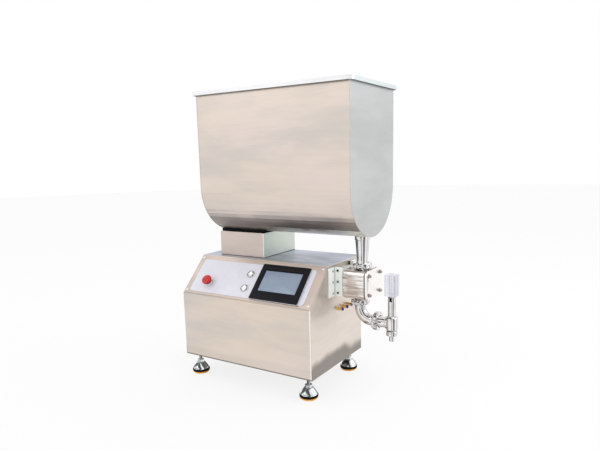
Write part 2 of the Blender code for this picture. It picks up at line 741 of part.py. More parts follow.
def make_estop(slope, face):
    """Latching mushroom button: a collar in the panel, a stem that slides, a head that turns on it."""
    centre = (*ESTOP_CENTRE, 0.0)
    bore = ESTOP_STEM_RADIUS + RUNNING
    collar_top = face + ESTOP_COLLAR_HEIGHT
    profile = [(bore, face - BARREL_DEPTH), (BARREL_RADIUS, face - BARREL_DEPTH), (BARREL_RADIUS, face),
               (ESTOP_COLLAR_RADIUS, face), (ESTOP_COLLAR_RADIUS, collar_top - 0.001),
               (ESTOP_COLLAR_RADIUS - 0.001, collar_top), (bore, collar_top)]
    bm = bmesh.new()
    add_turned(bm, profile, "Z", centre, ROUND, hollow=True)
    make("estop_collar", bm, ZINC, slope)

    stem_top = collar_top + RUNNING + ESTOP_TRAVEL
    bm = bmesh.new()
    profile = [(ESTOP_STEM_RADIUS, face - BARREL_DEPTH + ESTOP_TRAVEL), (ESTOP_STEM_RADIUS, stem_top)]
    add_turned(bm, profile, "Z", centre, SMALL)
    make("estop_stem", bm, BLACK, slope, centre)

    base = stem_top + GAP
    top = base + ESTOP_HEAD_HEIGHT
    radius = ESTOP_HEAD_RADIUS
    profile = [(radius * 0.72, base), (radius, base + 0.003), (radius, base + 0.010), (radius * 0.92, top - 0.003),
               (radius * 0.75, top - 0.001), (radius * 0.5, top)]
    bm = bmesh.new()
    add_turned(bm, profile, "Z", centre)
    make("estop_head", bm, RED, slope, centre)


def make_buttons(slope, face):
    """Two sprung push buttons: steel rings in the panel with a cap sliding in each."""
    bore = BUTTON_CAP_RADIUS + RUNNING
    top = face + BUTTON_RING_HEIGHT
    profile = [(bore, face - BARREL_DEPTH), (BARREL_RADIUS, face - BARREL_DEPTH), (BARREL_RADIUS, face),
               (BUTTON_RING_RADIUS, face), (BUTTON_RING_RADIUS, top - 0.0012), (BUTTON_RING_RADIUS - 0.002, top),
               (bore, top - 0.0005)]
    cap_top = face + BUTTON_CAP_RISE
    cap = [(BUTTON_CAP_RADIUS, face - 0.020), (BUTTON_CAP_RADIUS, cap_top - 0.001),
           (BUTTON_CAP_RADIUS - 0.001, cap_top)]
    for name, place in zip(("upper", "lower"), BUTTON_CENTRES):
        centre = (*place, 0.0)
        bm = bmesh.new()
        add_turned(bm, profile, "Z", centre, ROUND, hollow=True)
        make("button_ring_" + name, bm, POLISHED, slope)
        bm = bmesh.new()
        add_turned(bm, cap, "Z", centre)
        make("button_cap_" + name, bm, POLISHED, slope, centre)


# ---------------------------------------------------------------- pedestal and hopper

def make_pedestal(machine):
    low = (PEDESTAL_LEFT, PEDESTAL_FRONT)
    high = (PEDESTAL_LEFT + PEDESTAL_LENGTH, PEDESTAL_FRONT + PEDESTAL_DEPTH)
    foot = CABINET_TOP + GAP
    outer = rectangle(low, high)
    inner = rectangle((low[0] + SHEET, low[1] + SHEET), (high[0] - SHEET, high[1] - SHEET))
    levels = [(inner, PEDESTAL_TOP - SHEET), (inner, foot), (outer, foot), (outer, PEDESTAL_TOP)]
    bm = bmesh.new()
    add_levels(bm, levels, "Z")
    make("pedestal_box", bm, STEEL, machine)

    step = 180 / HOPPER_STEPS
    reach = SADDLE_STEPS * step
    centre = (PORT_Y, HOPPER_AXIS_Z)
    top = arc(HOPPER_RADIUS + GAP, 270 - reach, 270 + reach, 2 * SADDLE_STEPS, centre)
    foot = PEDESTAL_TOP + GAP
    outline = [(top[-1][0], foot), (top[0][0], foot)] + top
    bm = bmesh.new()
    add_prism(bm, outline, PEDESTAL_LEFT + SADDLE_INSET, PEDESTAL_LEFT + PEDESTAL_LENGTH - SADDLE_INSET, "X")
    make("saddle_pad", bm, RUBBER, machine)


def trough_line(radius, top):
    """Section of the trough, from the rear edge down round the bottom to the front edge."""
    centre = (PORT_Y, HOPPER_AXIS_Z)
    bottom = arc(radius, 0, -180, HOPPER_STEPS, centre)
    return [(PORT_Y + radius, top)] + bottom + [(PORT_Y - radius, top)]


def make_hopper(machine):
    sheet_top = HOPPER_TOP - SHEET - GAP
    bm = bmesh.new()
    line = trough_line(HOPPER_RADIUS, sheet_top)
    add_prism(bm, bent_strip(line, HOPPER_SHEET), HOPPER_LEFT + HOPPER_SHEET + GAP,
              HOPPER_RIGHT - HOPPER_SHEET - GAP, "X")
    shell = make("hopper_shell", bm, STEEL, machine)
    bm = bmesh.new()
    profile = [(OUTLET_RADIUS + PLAY, HOPPER_BOTTOM - 0.010), (OUTLET_RADIUS + PLAY, HOPPER_BOTTOM + 0.010)]
    add_turned(bm, profile, "Z", (PORT_X, PORT_Y, 0.0), ROUND)
    boolean(shell, make_tool("tool_outlet_hole", bm, machine))

    for name, face in (("hopper_end_left", HOPPER_LEFT), ("hopper_end_right", HOPPER_RIGHT - HOPPER_SHEET)):
        bm = bmesh.new()
        add_prism(bm, trough_line(HOPPER_RADIUS, sheet_top), face, face + HOPPER_SHEET, "X")
        make(name, bm, STEEL, machine)

    half_x = HOPPER_LENGTH / 2
    middle = (HOPPER_LEFT + half_x, PORT_Y)
    section = [(-RIM_INWARD, HOPPER_TOP), (RIM_REACH, HOPPER_TOP), (RIM_REACH, HOPPER_TOP - RIM_HEIGHT),
               (RIM_REACH - SHEET, HOPPER_TOP - RIM_HEIGHT), (RIM_REACH - SHEET, HOPPER_TOP - SHEET),
               (-RIM_INWARD, HOPPER_TOP - SHEET)]
    loops = []
    for out, height in section:
        corner = max(RIM_CORNER - RIM_REACH + out, SHEET / 4)
        outline = centred(half_x + out, HOPPER_RADIUS + out, corner, middle)
        loops.append([on_axis(point, height, "Z") for point in outline])
    bm = bmesh.new()
    add_loft(bm, loops, closed=True)
    make("hopper_rim", bm, STEEL, machine)

    top = HOPPER_BOTTOM + HOPPER_SHEET
    wide = HOPPER_BOTTOM - OUTLET_DROP
    narrow = wide - SHOULDER
    cone = OUTLET_RADIUS - OUTLET_LIP
    outer = [(OUTLET_RADIUS, top), (OUTLET_RADIUS, wide), (cone, wide - OUTLET_LIP), (TUBE_RADIUS, narrow)]
    bore = [(TUBE_BORE, narrow), (cone - TUBE_WALL, wide), (cone - TUBE_WALL, top)]
    profile = outer + ferrule(INLET_JOINT_Z, 1) + bore
    bm = bmesh.new()
    add_turned(bm, profile, "Z", (PORT_X, PORT_Y, 0.0), ROUND, hollow=True)
    make("hopper_outlet", bm, POLISHED, machine)


# ---------------------------------------------------------------- clamped joints

def ferrule(face_at, side):
    """Outer profile of a ferrule, tube to face, for the piece on one side of a joint."""
    face = face_at + side * GASKET / 2
    edge = face + side * FERRULE_EDGE
    cone = edge + side * FERRULE_CONE
    return [(TUBE_RADIUS, cone + side * 0.002), (TUBE_RADIUS + 0.002, cone), (FERRULE_RADIUS, edge),
            (FERRULE_RADIUS, face), (TUBE_BORE, face)]


def joint_places():
    """Each joint's own frame: Z along the tube, lugs towards -Y, the bolt along X."""
    level = Matrix(((0, 0, -1), (0, 1, 0), (1, 0, 0))).to_4x4()
    return {
        "inlet": Matrix.Translation((PORT_X, PORT_Y, INLET_JOINT_Z)),
        "outlet": Matrix.Translation((DROP_X, PORT_Y, OUTLET_JOINT_Z)),
        "valve": Matrix.Translation((VALVE_JOINT_X, PORT_Y, VALVE_Z)) @ level,
    }


def make_clamp(name, place, machine):
    """Two jaws joined at their hinge, the swing bolt on one of them, and its wing nut."""
    joint = make_empty("joint_" + name, machine, place)
    groove = GASKET / 2 + FERRULE_EDGE + 2 * GAP
    lip = TUBE_RADIUS + 0.002 + 2 * GAP
    bottom = FERRULE_RADIUS + 2 * GAP
    edge = CLAMP_HALF_WIDTH
    jaw = [(CLAMP_RADIUS - 0.001, -edge), (CLAMP_RADIUS, -edge + 0.001), (CLAMP_RADIUS, edge - 0.001),
           (CLAMP_RADIUS - 0.001, edge), (lip, edge), (lip, groove + FERRULE_CONE), (bottom, groove),
           (bottom, -groove), (lip, -groove - FERRULE_CONE), (lip, -edge)]
    half = 90 - CLAMP_SPLIT / 2
    bm = bmesh.new()
    for middle in (0, 180):
        add_sector(bm, jaw, middle - half, middle + half, ROUND // 2)
    clamp = make("clamp_" + name, bm, POLISHED, joint)

    bolt_y = -(CLAMP_RADIUS + BOLT_OFFSET)
    split = CLAMP_RADIUS * math.sin(math.radians(CLAMP_SPLIT / 2))
    inside = CLAMP_RADIUS - LUG_ROOT
    bm = bmesh.new()
    for x0, x1 in ((-CLAMP_LUG, -split), (split, CLAMP_LUG)):
        add_box(bm, (x0, bolt_y - LUG_MARGIN, -LUG_MARGIN), (x1, -inside, LUG_MARGIN))
    add_box(bm, (-HINGE_HALF, inside, -LUG_MARGIN), (HINGE_HALF, CLAMP_RADIUS + HINGE_RISE, LUG_MARGIN))
    boolean(clamp, make_tool("tool_lugs_" + name, bm, joint), "UNION")
    axis = (0.0, bolt_y, 0.0)
    cut_rod(clamp, "tool_bolt_hole_" + name, CLAMP_BOLT_RADIUS + PLAY, -split, CLAMP_LUG + SHEET, "X", axis, joint)
    radius = CLAMP_BOLT_RADIUS
    bolt = [(radius * 0.9, -CLAMP_LUG - 0.0055), (radius * 1.9, -CLAMP_LUG - 0.0035),
            (radius * 1.9, -CLAMP_LUG + SHEET), (radius, -CLAMP_LUG + SHEET), (radius, BOLT_REACH)]
    bm = bmesh.new()
    add_turned(bm, bolt, "X", axis, SMALL)
    boolean(clamp, make_tool("tool_bolt_" + name, bm, joint), "UNION")

    make_wing_nut(name, make_empty("bolt_axis_" + name, joint, Matrix.Translation(axis)))


def make_wing_nut(name, axis):
    """Hub and two short wings, turning on the clamp's bolt."""
    seat = CLAMP_LUG + GAP
    hub = [(0.0055, seat), (0.0065, seat + 0.0015), (0.0050, seat + 0.0050), (0.0050, seat + 0.013)]
    bm = bmesh.new()
    add_turned(bm, hub, "X", count=SMALL)
    nut = make("wing_nut_" + name, bm, POLISHED, axis)
    bm = bmesh.new()
    tips = [(seat + 0.0050, 0.0035), (seat + 0.0120, WING_REACH), (seat + 0.0165, WING_REACH),
            (seat + 0.0115, 0.0035)]
    for side in (1, -1):
        add_prism(bm, [(x, side * z) for x, z in tips], -WING_HALF, WING_HALF, "Y")
    boolean(nut, make_tool("tool_wings_" + name, bm, axis), "UNION")
    cut_rod(nut, "tool_nut_bore_" + name, CLAMP_BOLT_RADIUS + GAP, 0.0, BOLT_REACH + SHEET, "X", (0.0, 0.0, 0.0), axis)


# ---------------------------------------------------------------- pump

def pump_section(inset=0.0):
    width = PUMP_HALF_WIDTH - inset
    height = PUMP_HALF_HEIGHT - inset
    return centred(width, height, PUMP_CORNER - inset, (PORT_Y, PUMP_Z), 2 * CORNER_STEPS)


def stud_places():
    return [(0.0, PORT_Y + y, PUMP_Z + z) for y in (-STUD_Y, STUD_Y) for z in (-STUD_Z, STUD_Z)]


def make_pump(machine):
    bm = bmesh.new()
    edge = 0.002
    add_levels(bm, [(pump_section(edge), HOUSING_BACK), (pump_section(), HOUSING_BACK + edge),
                    (pump_section(), HOUSING_FRONT)], "X")
    housing = make("pump_housing", bm, POLISHED, machine)
    bm = bmesh.new()
    inlet, outlet = (PORT_X, PORT_Y, 0.0), (DROP_X, PORT_Y, 0.0)
    root = PUMP_HALF_HEIGHT * 0.7
    for joint, side, port in ((INLET_JOINT_Z, -1, inlet), (OUTLET_JOINT_Z, 1, outlet)):
        neck = [(TUBE_RADIUS, PUMP_Z - side * root)] + ferrule(joint, side)[:-1]
        add_turned(bm, neck, "Z", port, ROUND)
    boolean(housing, make_tool("tool_pump_necks", bm, machine), "UNION")
    waist = CHAMBER_RADIUS * 0.7
    cut_rod(housing, "tool_pump_inlet", TUBE_BORE, PUMP_Z + waist, INLET_JOINT_Z + GASKET, "Z", inlet, machine, ROUND)
    cut_rod(housing, "tool_pump_outlet", TUBE_BORE, OUTLET_JOINT_Z - GASKET, PUMP_Z - waist, "Z", outlet, machine,
            ROUND)
    bm = bmesh.new()
    chamber = figure_eight(CHAMBER_RADIUS, PITCH_RADIUS, ROUND)
    chamber = [(PORT_Y + y, PUMP_Z + z) for y, z in chamber]
    add_prism(bm, chamber, CHAMBER_BACK, HOUSING_FRONT + SHEET, "X")
    boolean(housing, make_tool("tool_pump_chamber", bm, machine))
    bm = bmesh.new()
    for y in (DRIVE_Y, IDLER_Y):
        bore = (SHAFT_RADIUS + RUNNING, HOUSING_BACK - SHEET, CHAMBER_BACK + SHEET)
        add_rod(bm, *bore, "X", (0.0, y, PUMP_Z), SHAFT_SIDES)
    for place in stud_places():
        add_rod(bm, COVER_STUD_RADIUS + PLAY, HOUSING_FRONT - COVER_STUD_DEPTH - PLAY, HOUSING_FRONT + SHEET, "X",
                place)
    boolean(housing, make_tool("tool_pump_bores", bm, machine))

    joint = HOUSING_FRONT + GAP
    face = joint + COVER
    bm = bmesh.new()
    add_levels(bm, [(pump_section(), joint), (pump_section(), face - 0.004), (pump_section(0.003), face)], "X")
    cover = make("pump_cover", bm, POLISHED, machine)
    radius = COVER_NUT_RADIUS
    sunk = joint + COVER / 2
    profile = [(COVER_STUD_RADIUS, HOUSING_FRONT - COVER_STUD_DEPTH), (COVER_STUD_RADIUS, sunk), (radius, sunk),
               (radius, face + 0.005), (radius * 0.82, face + 0.0065), (radius * 0.72, face + 0.009),
               (radius * 0.35, face + COVER_NUT_HEIGHT)]
    bm = bmesh.new()
    for place in stud_places():
        add_turned(bm, profile, "X", place, SMALL)
    boolean(cover, make_tool("tool_cover_nuts", bm, machine), "UNION")

    make_trains(machine)


def make_trains(machine):
    """Drive and idler shafts, each with its rotor and timing gear."""
    gear_front = CASE_FRONT - CASE_FRONT_WALL - GEAR_SETBACK
    ends = {"drive": FLANGE_FRONT - REDUCER_BORE, "idler": FLANGE_FRONT - REDUCER_FLANGE / 2}
    turns = {"drive": 90, "idler": 0}
    centres = {"drive": (0.0, DRIVE_Y, PUMP_Z), "idler": (0.0, IDLER_Y, PUMP_Z)}
    for name, centre in centres.items():
        bm = bmesh.new()
        add_rod(bm, SHAFT_RADIUS, ends[name], ROTOR_FRONT, "X", centre, SHAFT_SIDES)
        make("shaft_" + name, bm, POLISHED, machine, centre)

        bm = bmesh.new()
        turn = Matrix.Rotation(math.radians(turns[name]), 2)
        lobes = [turn @ Vector(point) for point in lobe_outline()]
        add_prism(bm, [tuple(point) for point in lobes], ROTOR_BACK, ROTOR_FRONT, "X", centre)
        rotor = make("rotor_" + name, bm, POLISHED, machine, centre)
        bore = (SHAFT_RADIUS + GAP, ROTOR_BACK - SHEET, ROTOR_FRONT + SHEET)
        cut_rod(rotor, "tool_rotor_bore_" + name, *bore, "X", centre, machine, SHAFT_SIDES)

        bm = bmesh.new()
        mesh_turn = 180 / TOOTH_COUNT if name == "idler" else 0
        add_prism(bm, gear_outline(mesh_turn), gear_front - GEAR_WIDTH, gear_front, "X", centre)
        gear = make("gear_" + name, bm, IRON, machine, centre)
        bore = (SHAFT_RADIUS + GAP, gear_front - GEAR_WIDTH - SHEET, gear_front + SHEET)
        cut_rod(gear, "tool_gear_bore_" + name, *bore, "X", centre, machine, SHAFT_SIDES)

        bm = bmesh.new()
        low = BEARING_SHOULDER - GAP - BEARING_WIDTH
        inner = SHAFT_RADIUS + PLAY
        high = low + BEARING_WIDTH
        ring = [(inner, low), (BEARING_RADIUS, low), (BEARING_RADIUS, high), (inner, high)]
        add_turned(bm, ring, "X", centre, BEARING_SIDES, hollow=True)
        make("bearing_" + name, bm, POLISHED, machine)

    make_case(machine, centres, ends)


def make_case(machine, centres, ends):
    """Gear case through the wall, closed at the back by the reducer's flange."""
    section = centred(CASE_HALF_WIDTH, CASE_HALF_HEIGHT, CASE_CORNER, (PORT_Y, PUMP_Z))
    bm = bmesh.new()
    add_prism(bm, section, CASE_BACK, CASE_FRONT, "X")
    case = make("gear_case", bm, PALE, machine)
    bm = bmesh.new()
    cavity = [(PORT_Y + y, PUMP_Z + z) for y, z in figure_eight(CAVITY_RADIUS, PITCH_RADIUS, ROUND // 2)]
    add_prism(bm, cavity, CASE_BACK - SHEET, CASE_FRONT - CASE_FRONT_WALL, "X")
    boolean(case, make_tool("tool_case_cavity", bm, machine))
    recesses = bmesh.new()
    bores = bmesh.new()
    for centre in centres.values():
        recess = (BEARING_RADIUS + GAP, CASE_FRONT - CASE_FRONT_WALL - SHEET, BEARING_SHOULDER)
        add_rod(recesses, *recess, "X", centre, BEARING_SIDES)
        bore = (SHAFT_RADIUS + RUNNING, BEARING_SHOULDER - SHEET, CASE_FRONT + SHEET)
        add_rod(bores, *bore, "X", centre, SHAFT_SIDES)
    boolean(case, make_tool("tool_case_recesses", recesses, machine))
    boolean(case, make_tool("tool_case_bores", bores, machine))

    body = centred(REDUCER_HALF, REDUCER_HALF, DRIVE_CORNER, (DRIVE_Y, PUMP_Z))
    step = FLANGE_FRONT - REDUCER_FLANGE
    back = step - REDUCER_LENGTH
    bm = bmesh.new()
    add_levels(bm, [(section, FLANGE_FRONT), (section, step), (body, step), (body, back)], "X")
    reducer = make("motor_reducer", bm, IRON, machine)
    bm = bmesh.new()
    for name, centre in centres.items():
        bore = (SHAFT_RADIUS + RUNNING, ends[name] - RUNNING, FLANGE_FRONT + SHEET)
        add_rod(bm, *bore, "X", centre, SHAFT_SIDES)
    boolean(reducer, make_tool("tool_reducer_bores", bm, machine))

    front = back - GAP
    motor = centred(MOTOR_HALF, MOTOR_HALF, DRIVE_CORNER, (DRIVE_Y, PUMP_Z))
    cap = centred(MOTOR_HALF * 0.85, MOTOR_HALF * 0.85, DRIVE_CORNER, (DRIVE_Y, PUMP_Z))
    end = front - MOTOR_LENGTH
    bm = bmesh.new()
    add_levels(bm, [(motor, front), (motor, end + MOTOR_CAP), (cap, end + MOTOR_CAP), (cap, end)], "X")
    make("servo_motor", bm, BLACK, machine)


# ---------------------------------------------------------------- brackets and fittings

def bracket_screw_places():
    """Wall screws face +X; case screws face away from the pump along Y."""
    wall = {}
    case = {}
    rows = [row * BRACKET_PITCH for row in (-1, 0, 1)]
    for side in (-1, 1):
        y = PORT_Y + side * WALL_SCREW_Y
        wall[side] = [(WALL_FACE + BRACKET, y, PUMP_Z + BRACKET_LIFT + row) for row in rows]
        case[side] = [(WALL_FACE + CASE_SCREW_X, PORT_Y, PUMP_Z + row) for row in rows]
    return wall, case


def make_bracket_bores(machine):
    wall, case = bracket_screw_places()
    radius = BRACKET_SCREW_RADIUS + PLAY
    face = CASE_HALF_WIDTH + GAP + BRACKET
    bm = bmesh.new()
    for side in (-1, 1):
        for place in wall[side]:
            add_rod(bm, radius, -BRACKET_SCREW_LENGTH, SHEET, "X", place)
        for place in case[side]:
            add_rod(bm, radius, side * (face - BRACKET_SCREW_LENGTH - PLAY), side * (face + SHEET), "Y", place)
    return make_tool("tool_bracket_holes", bm, machine)


def make_brackets(machine):
    inner = CASE_HALF_WIDTH + GAP
    outer = inner + BRACKET
    outline = [(WALL_FACE, BRACKET_FRONT), (WALL_FACE, inner), (WALL_FACE + BRACKET_REACH, inner),
               (WALL_FACE + BRACKET_REACH, outer), (WALL_FACE + BRACKET, outer), (WALL_FACE + BRACKET, BRACKET_FRONT)]
    low = PUMP_Z + BRACKET_LIFT - BRACKET_HEIGHT / 2
    wall, case = bracket_screw_places()
    sunk = -BRACKET / 2
    profile = [(BRACKET_SCREW_RADIUS, -BRACKET_SCREW_LENGTH), (BRACKET_SCREW_RADIUS, sunk),
               (BRACKET_SCREW_HEAD, sunk), (BRACKET_SCREW_HEAD, 0.0022), (BRACKET_SCREW_HEAD * 0.7, 0.0032)]
    for name, side in (("front", -1), ("rear", 1)):
        bm = bmesh.new()
        add_prism(bm, [(x, PORT_Y + side * y) for x, y in outline], low, low + BRACKET_HEIGHT)
        bracket = make("bracket_" + name, bm, PALE, machine)
        bm = bmesh.new()
        case_profile = [(radius, side * (outer + height)) for radius, height in profile]
        for row in range(3):
            add_turned(bm, profile, "X", wall[side][row], SMALL)
            add_turned(bm, case_profile, "Y", case[side][row], SMALL)
        boolean(bracket, make_tool("tool_screws_" + name, bm, machine), "UNION")


def fitting_places():
    middle = PORT_Y + FITTING_SHIFT
    return [(CABINET_WIDTH, middle + row * FITTING_PITCH, FITTING_Z) for row in (-1, 0, 1)]


def make_air_fittings(machine):
    body_end = GAP + 0.0067
    tube_end = body_end + 0.0065
    collar_end = tube_end + 0.0035
    profile = [(FITTING_BORE, -0.012), (THREAD_RADIUS, -0.012), (THREAD_RADIUS, GAP), (FITTING_RADIUS, GAP),
               (FITTING_RADIUS, body_end), (FITTING_TUBE, body_end), (FITTING_TUBE, tube_end),
               (FITTING_COLLAR, tube_end), (FITTING_COLLAR, collar_end), (FITTING_BORE, collar_end)]
    for name, place in zip(("front", "middle", "rear"), fitting_places()):
        bm = bmesh.new()
        add_turned(bm, profile, "X", place, SMALL, hollow=True)
        make("air_fitting_" + name, bm, BRASS, machine)


# ---------------------------------------------------------------- outlet elbow and filling valve

def pipe_loop(radius, x, z, heading):
    """A ring of points square to a heading in the XZ plane."""
    across = Vector((-math.sin(heading), 0.0, math.cos(heading)))
    middle = Vector((x, PORT_Y, z))
    return [middle + across * a + Vector((0.0, b, 0.0)) for a, b in ring_of_points(radius, ROUND)]


def make_elbow(machine):
    """Down from the pump, round the bend and level to the valve."""
    down = math.radians(-90)
    centre = (DROP_X + BEND_RADIUS, VALVE_Z + BEND_RADIUS)
    bend = []
    for i in range(BEND_STEPS + 1):
        angle = math.radians(180 + 90 * i / BEND_STEPS)
        bend.append((*turned_point(BEND_RADIUS, angle, centre), angle + math.radians(90)))
    top = ferrule(OUTLET_JOINT_Z, -1)[-2::-1]
    end = ferrule(VALVE_JOINT_X, -1)
    loops = [pipe_loop(radius, DROP_X, height, down) for radius, height in top]
    loops += [pipe_loop(TUBE_RADIUS, *station) for station in bend]
    loops += [pipe_loop(radius, x, VALVE_Z, 0.0) for radius, x in end]
    loops += [pipe_loop(TUBE_BORE, *station) for station in bend[::-1]]
    loops.append(pipe_loop(TUBE_BORE, DROP_X, top[0][1], down))
    bm = bmesh.new()
    add_loft(bm, loops, closed=True)
    make("outlet_elbow", bm, POLISHED, machine)


def make_valve(machine):
    axis = (VALVE_X, PORT_Y, 0.0)
    profile = [(SPIGOT_RADIUS, SPIGOT_FOOT), (SPIGOT_RADIUS, VALVE_FOOT), (VALVE_RADIUS - VALVE_CHAMFER, VALVE_FOOT),
               (VALVE_RADIUS, VALVE_FOOT + VALVE_CHAMFER), (VALVE_RADIUS, VALVE_TOP - VALVE_CHAMFER),
               (VALVE_RADIUS - VALVE_CHAMFER, VALVE_TOP)]
    bm = bmesh.new()
    add_turned(bm, profile, "Z", axis)
    body = make("valve_body", bm, POLISHED, machine)
    bm = bmesh.new()
    stub = [(TUBE_RADIUS, VALVE_X - VALVE_CHAMBER)] + ferrule(VALVE_JOINT_X, 1)[:-1]
    level = (0.0, PORT_Y, VALVE_Z)
    add_turned(bm, stub, "X", level)
    boolean(body, make_tool("tool_valve_stub", bm, machine), "UNION")
    cuts = {
        "chamber": (VALVE_CHAMBER, VALVE_FOOT + SHEET, VALVE_TOP - VALVE_CHAMFER, "Z", axis),
        "port": (TUBE_BORE, VALVE_JOINT_X - GASKET, VALVE_X - SHEET, "X", level),
        "spigot": (SEAT_RADIUS, SPIGOT_FOOT - SHEET, VALVE_Z, "Z", axis),
        "rod": (ROD_RADIUS + RUNNING, VALVE_Z, VALVE_TOP + SHEET, "Z", axis),
    }
    for name, (radius, low, high, along, centre) in cuts.items():
        cut_rod(body, "tool_valve_" + name, radius, low, high, along, centre, machine, ROUND)

    bm = bmesh.new()
    inner = YOKE_RADIUS - YOKE_WALL
    ring = [(inner, YOKE_FOOT), (YOKE_RADIUS, YOKE_FOOT), (YOKE_RADIUS, YOKE_TOP), (inner, YOKE_TOP)]
    add_turned(bm, ring, "Z", axis, hollow=True)
    yoke = make("valve_yoke", bm, POLISHED, machine)
    bm = bmesh.new()
    width, height = YOKE_SLOT
    top = YOKE_TOP - YOKE_WALL
    add_box(bm, (VALVE_X - width / 2, PORT_Y - 2 * YOKE_RADIUS, top - height), (VALVE_X + width / 2, PORT_Y, top))
    boolean(yoke, make_tool("tool_yoke_slot", bm, machine))

    bm = bmesh.new()
    section = centred(CYLINDER_HALF, CYLINDER_HALF, CYLINDER_CORNER, axis)
    top = CYLINDER_FOOT + CYLINDER_HEIGHT
    add_prism(bm, section, CYLINDER_FOOT, top)
    cylinder = make("valve_cylinder", bm, POLISHED, machine)
    floor = CYLINDER_FOOT + CYLINDER_END
    cut_rod(cylinder, "tool_cylinder_bore", CYLINDER_BORE, floor, top - CYLINDER_END, "Z", axis, machine, ROUND)
    rod_hole = (ROD_RADIUS + RUNNING, CYLINDER_FOOT - SHEET, floor + SHEET)
    cut_rod(cylinder, "tool_cylinder_rod", *rod_hole, "Z", axis, machine, ROUND)

    plug = SEAT_RADIUS - 2 * RUNNING
    piston = floor + 2 * RUNNING
    profile = [(TIP_BORE - RUNNING, FLANGE_TOP - FLANGE_THICKNESS), (plug, FLANGE_TOP), (plug, FLANGE_TOP + 0.004),
               (ROD_RADIUS, FLANGE_TOP + 0.008), (ROD_RADIUS, piston), (CYLINDER_BORE - RUNNING, piston),
               (CYLINDER_BORE - RUNNING, piston + PISTON_THICKNESS), (ROD_RADIUS, piston + PISTON_THICKNESS)]
    bm = bmesh.new()
    add_turned(bm, profile, "Z", axis)
    make("valve_stem", bm, POLISHED, machine, (VALVE_X, PORT_Y, FLANGE_TOP))

    bm = bmesh.new()
    profile = [(TIP_BORE, TIP_END), (TIP_RADIUS, TIP_END), (TIP_RADIUS, FLANGE_FOOT), (SPIGOT_RADIUS, FLANGE_FOOT),
               (SPIGOT_RADIUS, FLANGE_TOP), (SEAT_RADIUS, FLANGE_TOP), (TIP_BORE, FLANGE_TOP - FLANGE_THICKNESS - PLAY)]
    add_turned(bm, profile, "Z", axis, hollow=True)
    make("nozzle_tip", bm, POLISHED, machine)

    bm = bmesh.new()
    bore = SPIGOT_RADIUS + GAP
    lip = TIP_RADIUS + PLAY
    profile = [(lip, NUT_FOOT), (NUT_RADIUS - 0.001, NUT_FOOT), (NUT_RADIUS, NUT_FOOT + 0.001),
               (NUT_RADIUS, NUT_TOP - 0.001), (NUT_RADIUS - 0.001, NUT_TOP), (bore, NUT_TOP),
               (bore, FLANGE_FOOT - GAP), (lip, FLANGE_FOOT - GAP)]
    add_turned(bm, profile, "Z", axis, hollow=True)
    make("nozzle_nut", bm, POLISHED, machine)


def main():
    for piece in list(bpy.data.objects):
        bpy.data.objects.remove(piece)
    middle = Matrix.Translation((-FOOTPRINT_RIGHT / 2, -FOOTPRINT_BACK / 2, 0.0))
    machine = make_empty("machine", None, middle)
    tilt = Matrix.Rotation(math.atan2(SLOPE_RISE, SLOPE_RUN), 4, "X")
    slope = make_empty("control_slope", machine, Matrix.Translation((0.0, 0.0, FRONT_TOP)) @ tilt)
    bracket_bores = make_bracket_bores(machine)
    panel_bores = make_panel_bores(slope)
    make_cabinet(machine, slope, bracket_bores, panel_bores)
    make_feet(machine)
    make_control_panel(slope)
    make_pedestal(machine)
    make_hopper(machine)
    for name, place in joint_places().items():
        make_clamp(name, place, machine)
    make_pump(machine)
    case = bpy.data.objects["gear_case"]
    boolean(case, bracket_bores)
    make_brackets(machine)
    make_air_fittings(machine)
    make_elbow(machine)
    make_valve(machine)


main()
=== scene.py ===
"""Looks of the hopper-fed liquid filler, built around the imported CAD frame."""

import math

import bmesh
import bpy
from mathutils import Matrix, Vector


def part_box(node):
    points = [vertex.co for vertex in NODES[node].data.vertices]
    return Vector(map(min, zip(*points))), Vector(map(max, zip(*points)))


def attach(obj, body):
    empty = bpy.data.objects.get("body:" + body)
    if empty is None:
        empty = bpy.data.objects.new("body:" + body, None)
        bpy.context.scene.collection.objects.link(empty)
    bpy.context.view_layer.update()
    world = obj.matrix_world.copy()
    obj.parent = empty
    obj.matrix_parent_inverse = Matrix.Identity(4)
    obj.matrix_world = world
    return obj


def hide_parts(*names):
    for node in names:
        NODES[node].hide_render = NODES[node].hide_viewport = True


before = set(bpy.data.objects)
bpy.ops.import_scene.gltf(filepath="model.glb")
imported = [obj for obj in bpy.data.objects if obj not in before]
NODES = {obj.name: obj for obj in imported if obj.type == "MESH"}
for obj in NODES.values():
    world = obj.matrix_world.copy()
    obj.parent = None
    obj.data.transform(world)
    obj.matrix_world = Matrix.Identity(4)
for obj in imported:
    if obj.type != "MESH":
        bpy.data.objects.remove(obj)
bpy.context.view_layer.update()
X, Y, Z = 0, 1, 2


def middle(node, axis):
    """Middle of a CAD node's box along one axis."""
    return sum(point[axis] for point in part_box(node)) / 2


def shift(x, y, z):
    """Frame moved by (x, y, z)."""
    return Matrix.Translation((x, y, z))


# The cabinet's own frame: X from its left wall, Y from its front, Z from the floor
ORIGIN = Vector((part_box("side_panel_left")[0].x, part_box("cabinet_wrap")[0].y, 0.0))
WALL_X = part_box("side_panel_right")[1].x        # outer face of the pump's wall
FRONT_TOP = 0.32                               # fold between the front and the slope
SLOPE_RUN = 0.124
SLOPE_RISE = 0.125
SLOPE = (
    shift(*(ORIGIN + Vector((0, 0, FRONT_TOP))))
    @ Matrix.Rotation(math.atan2(SLOPE_RISE, SLOPE_RUN), 4, "X")
)

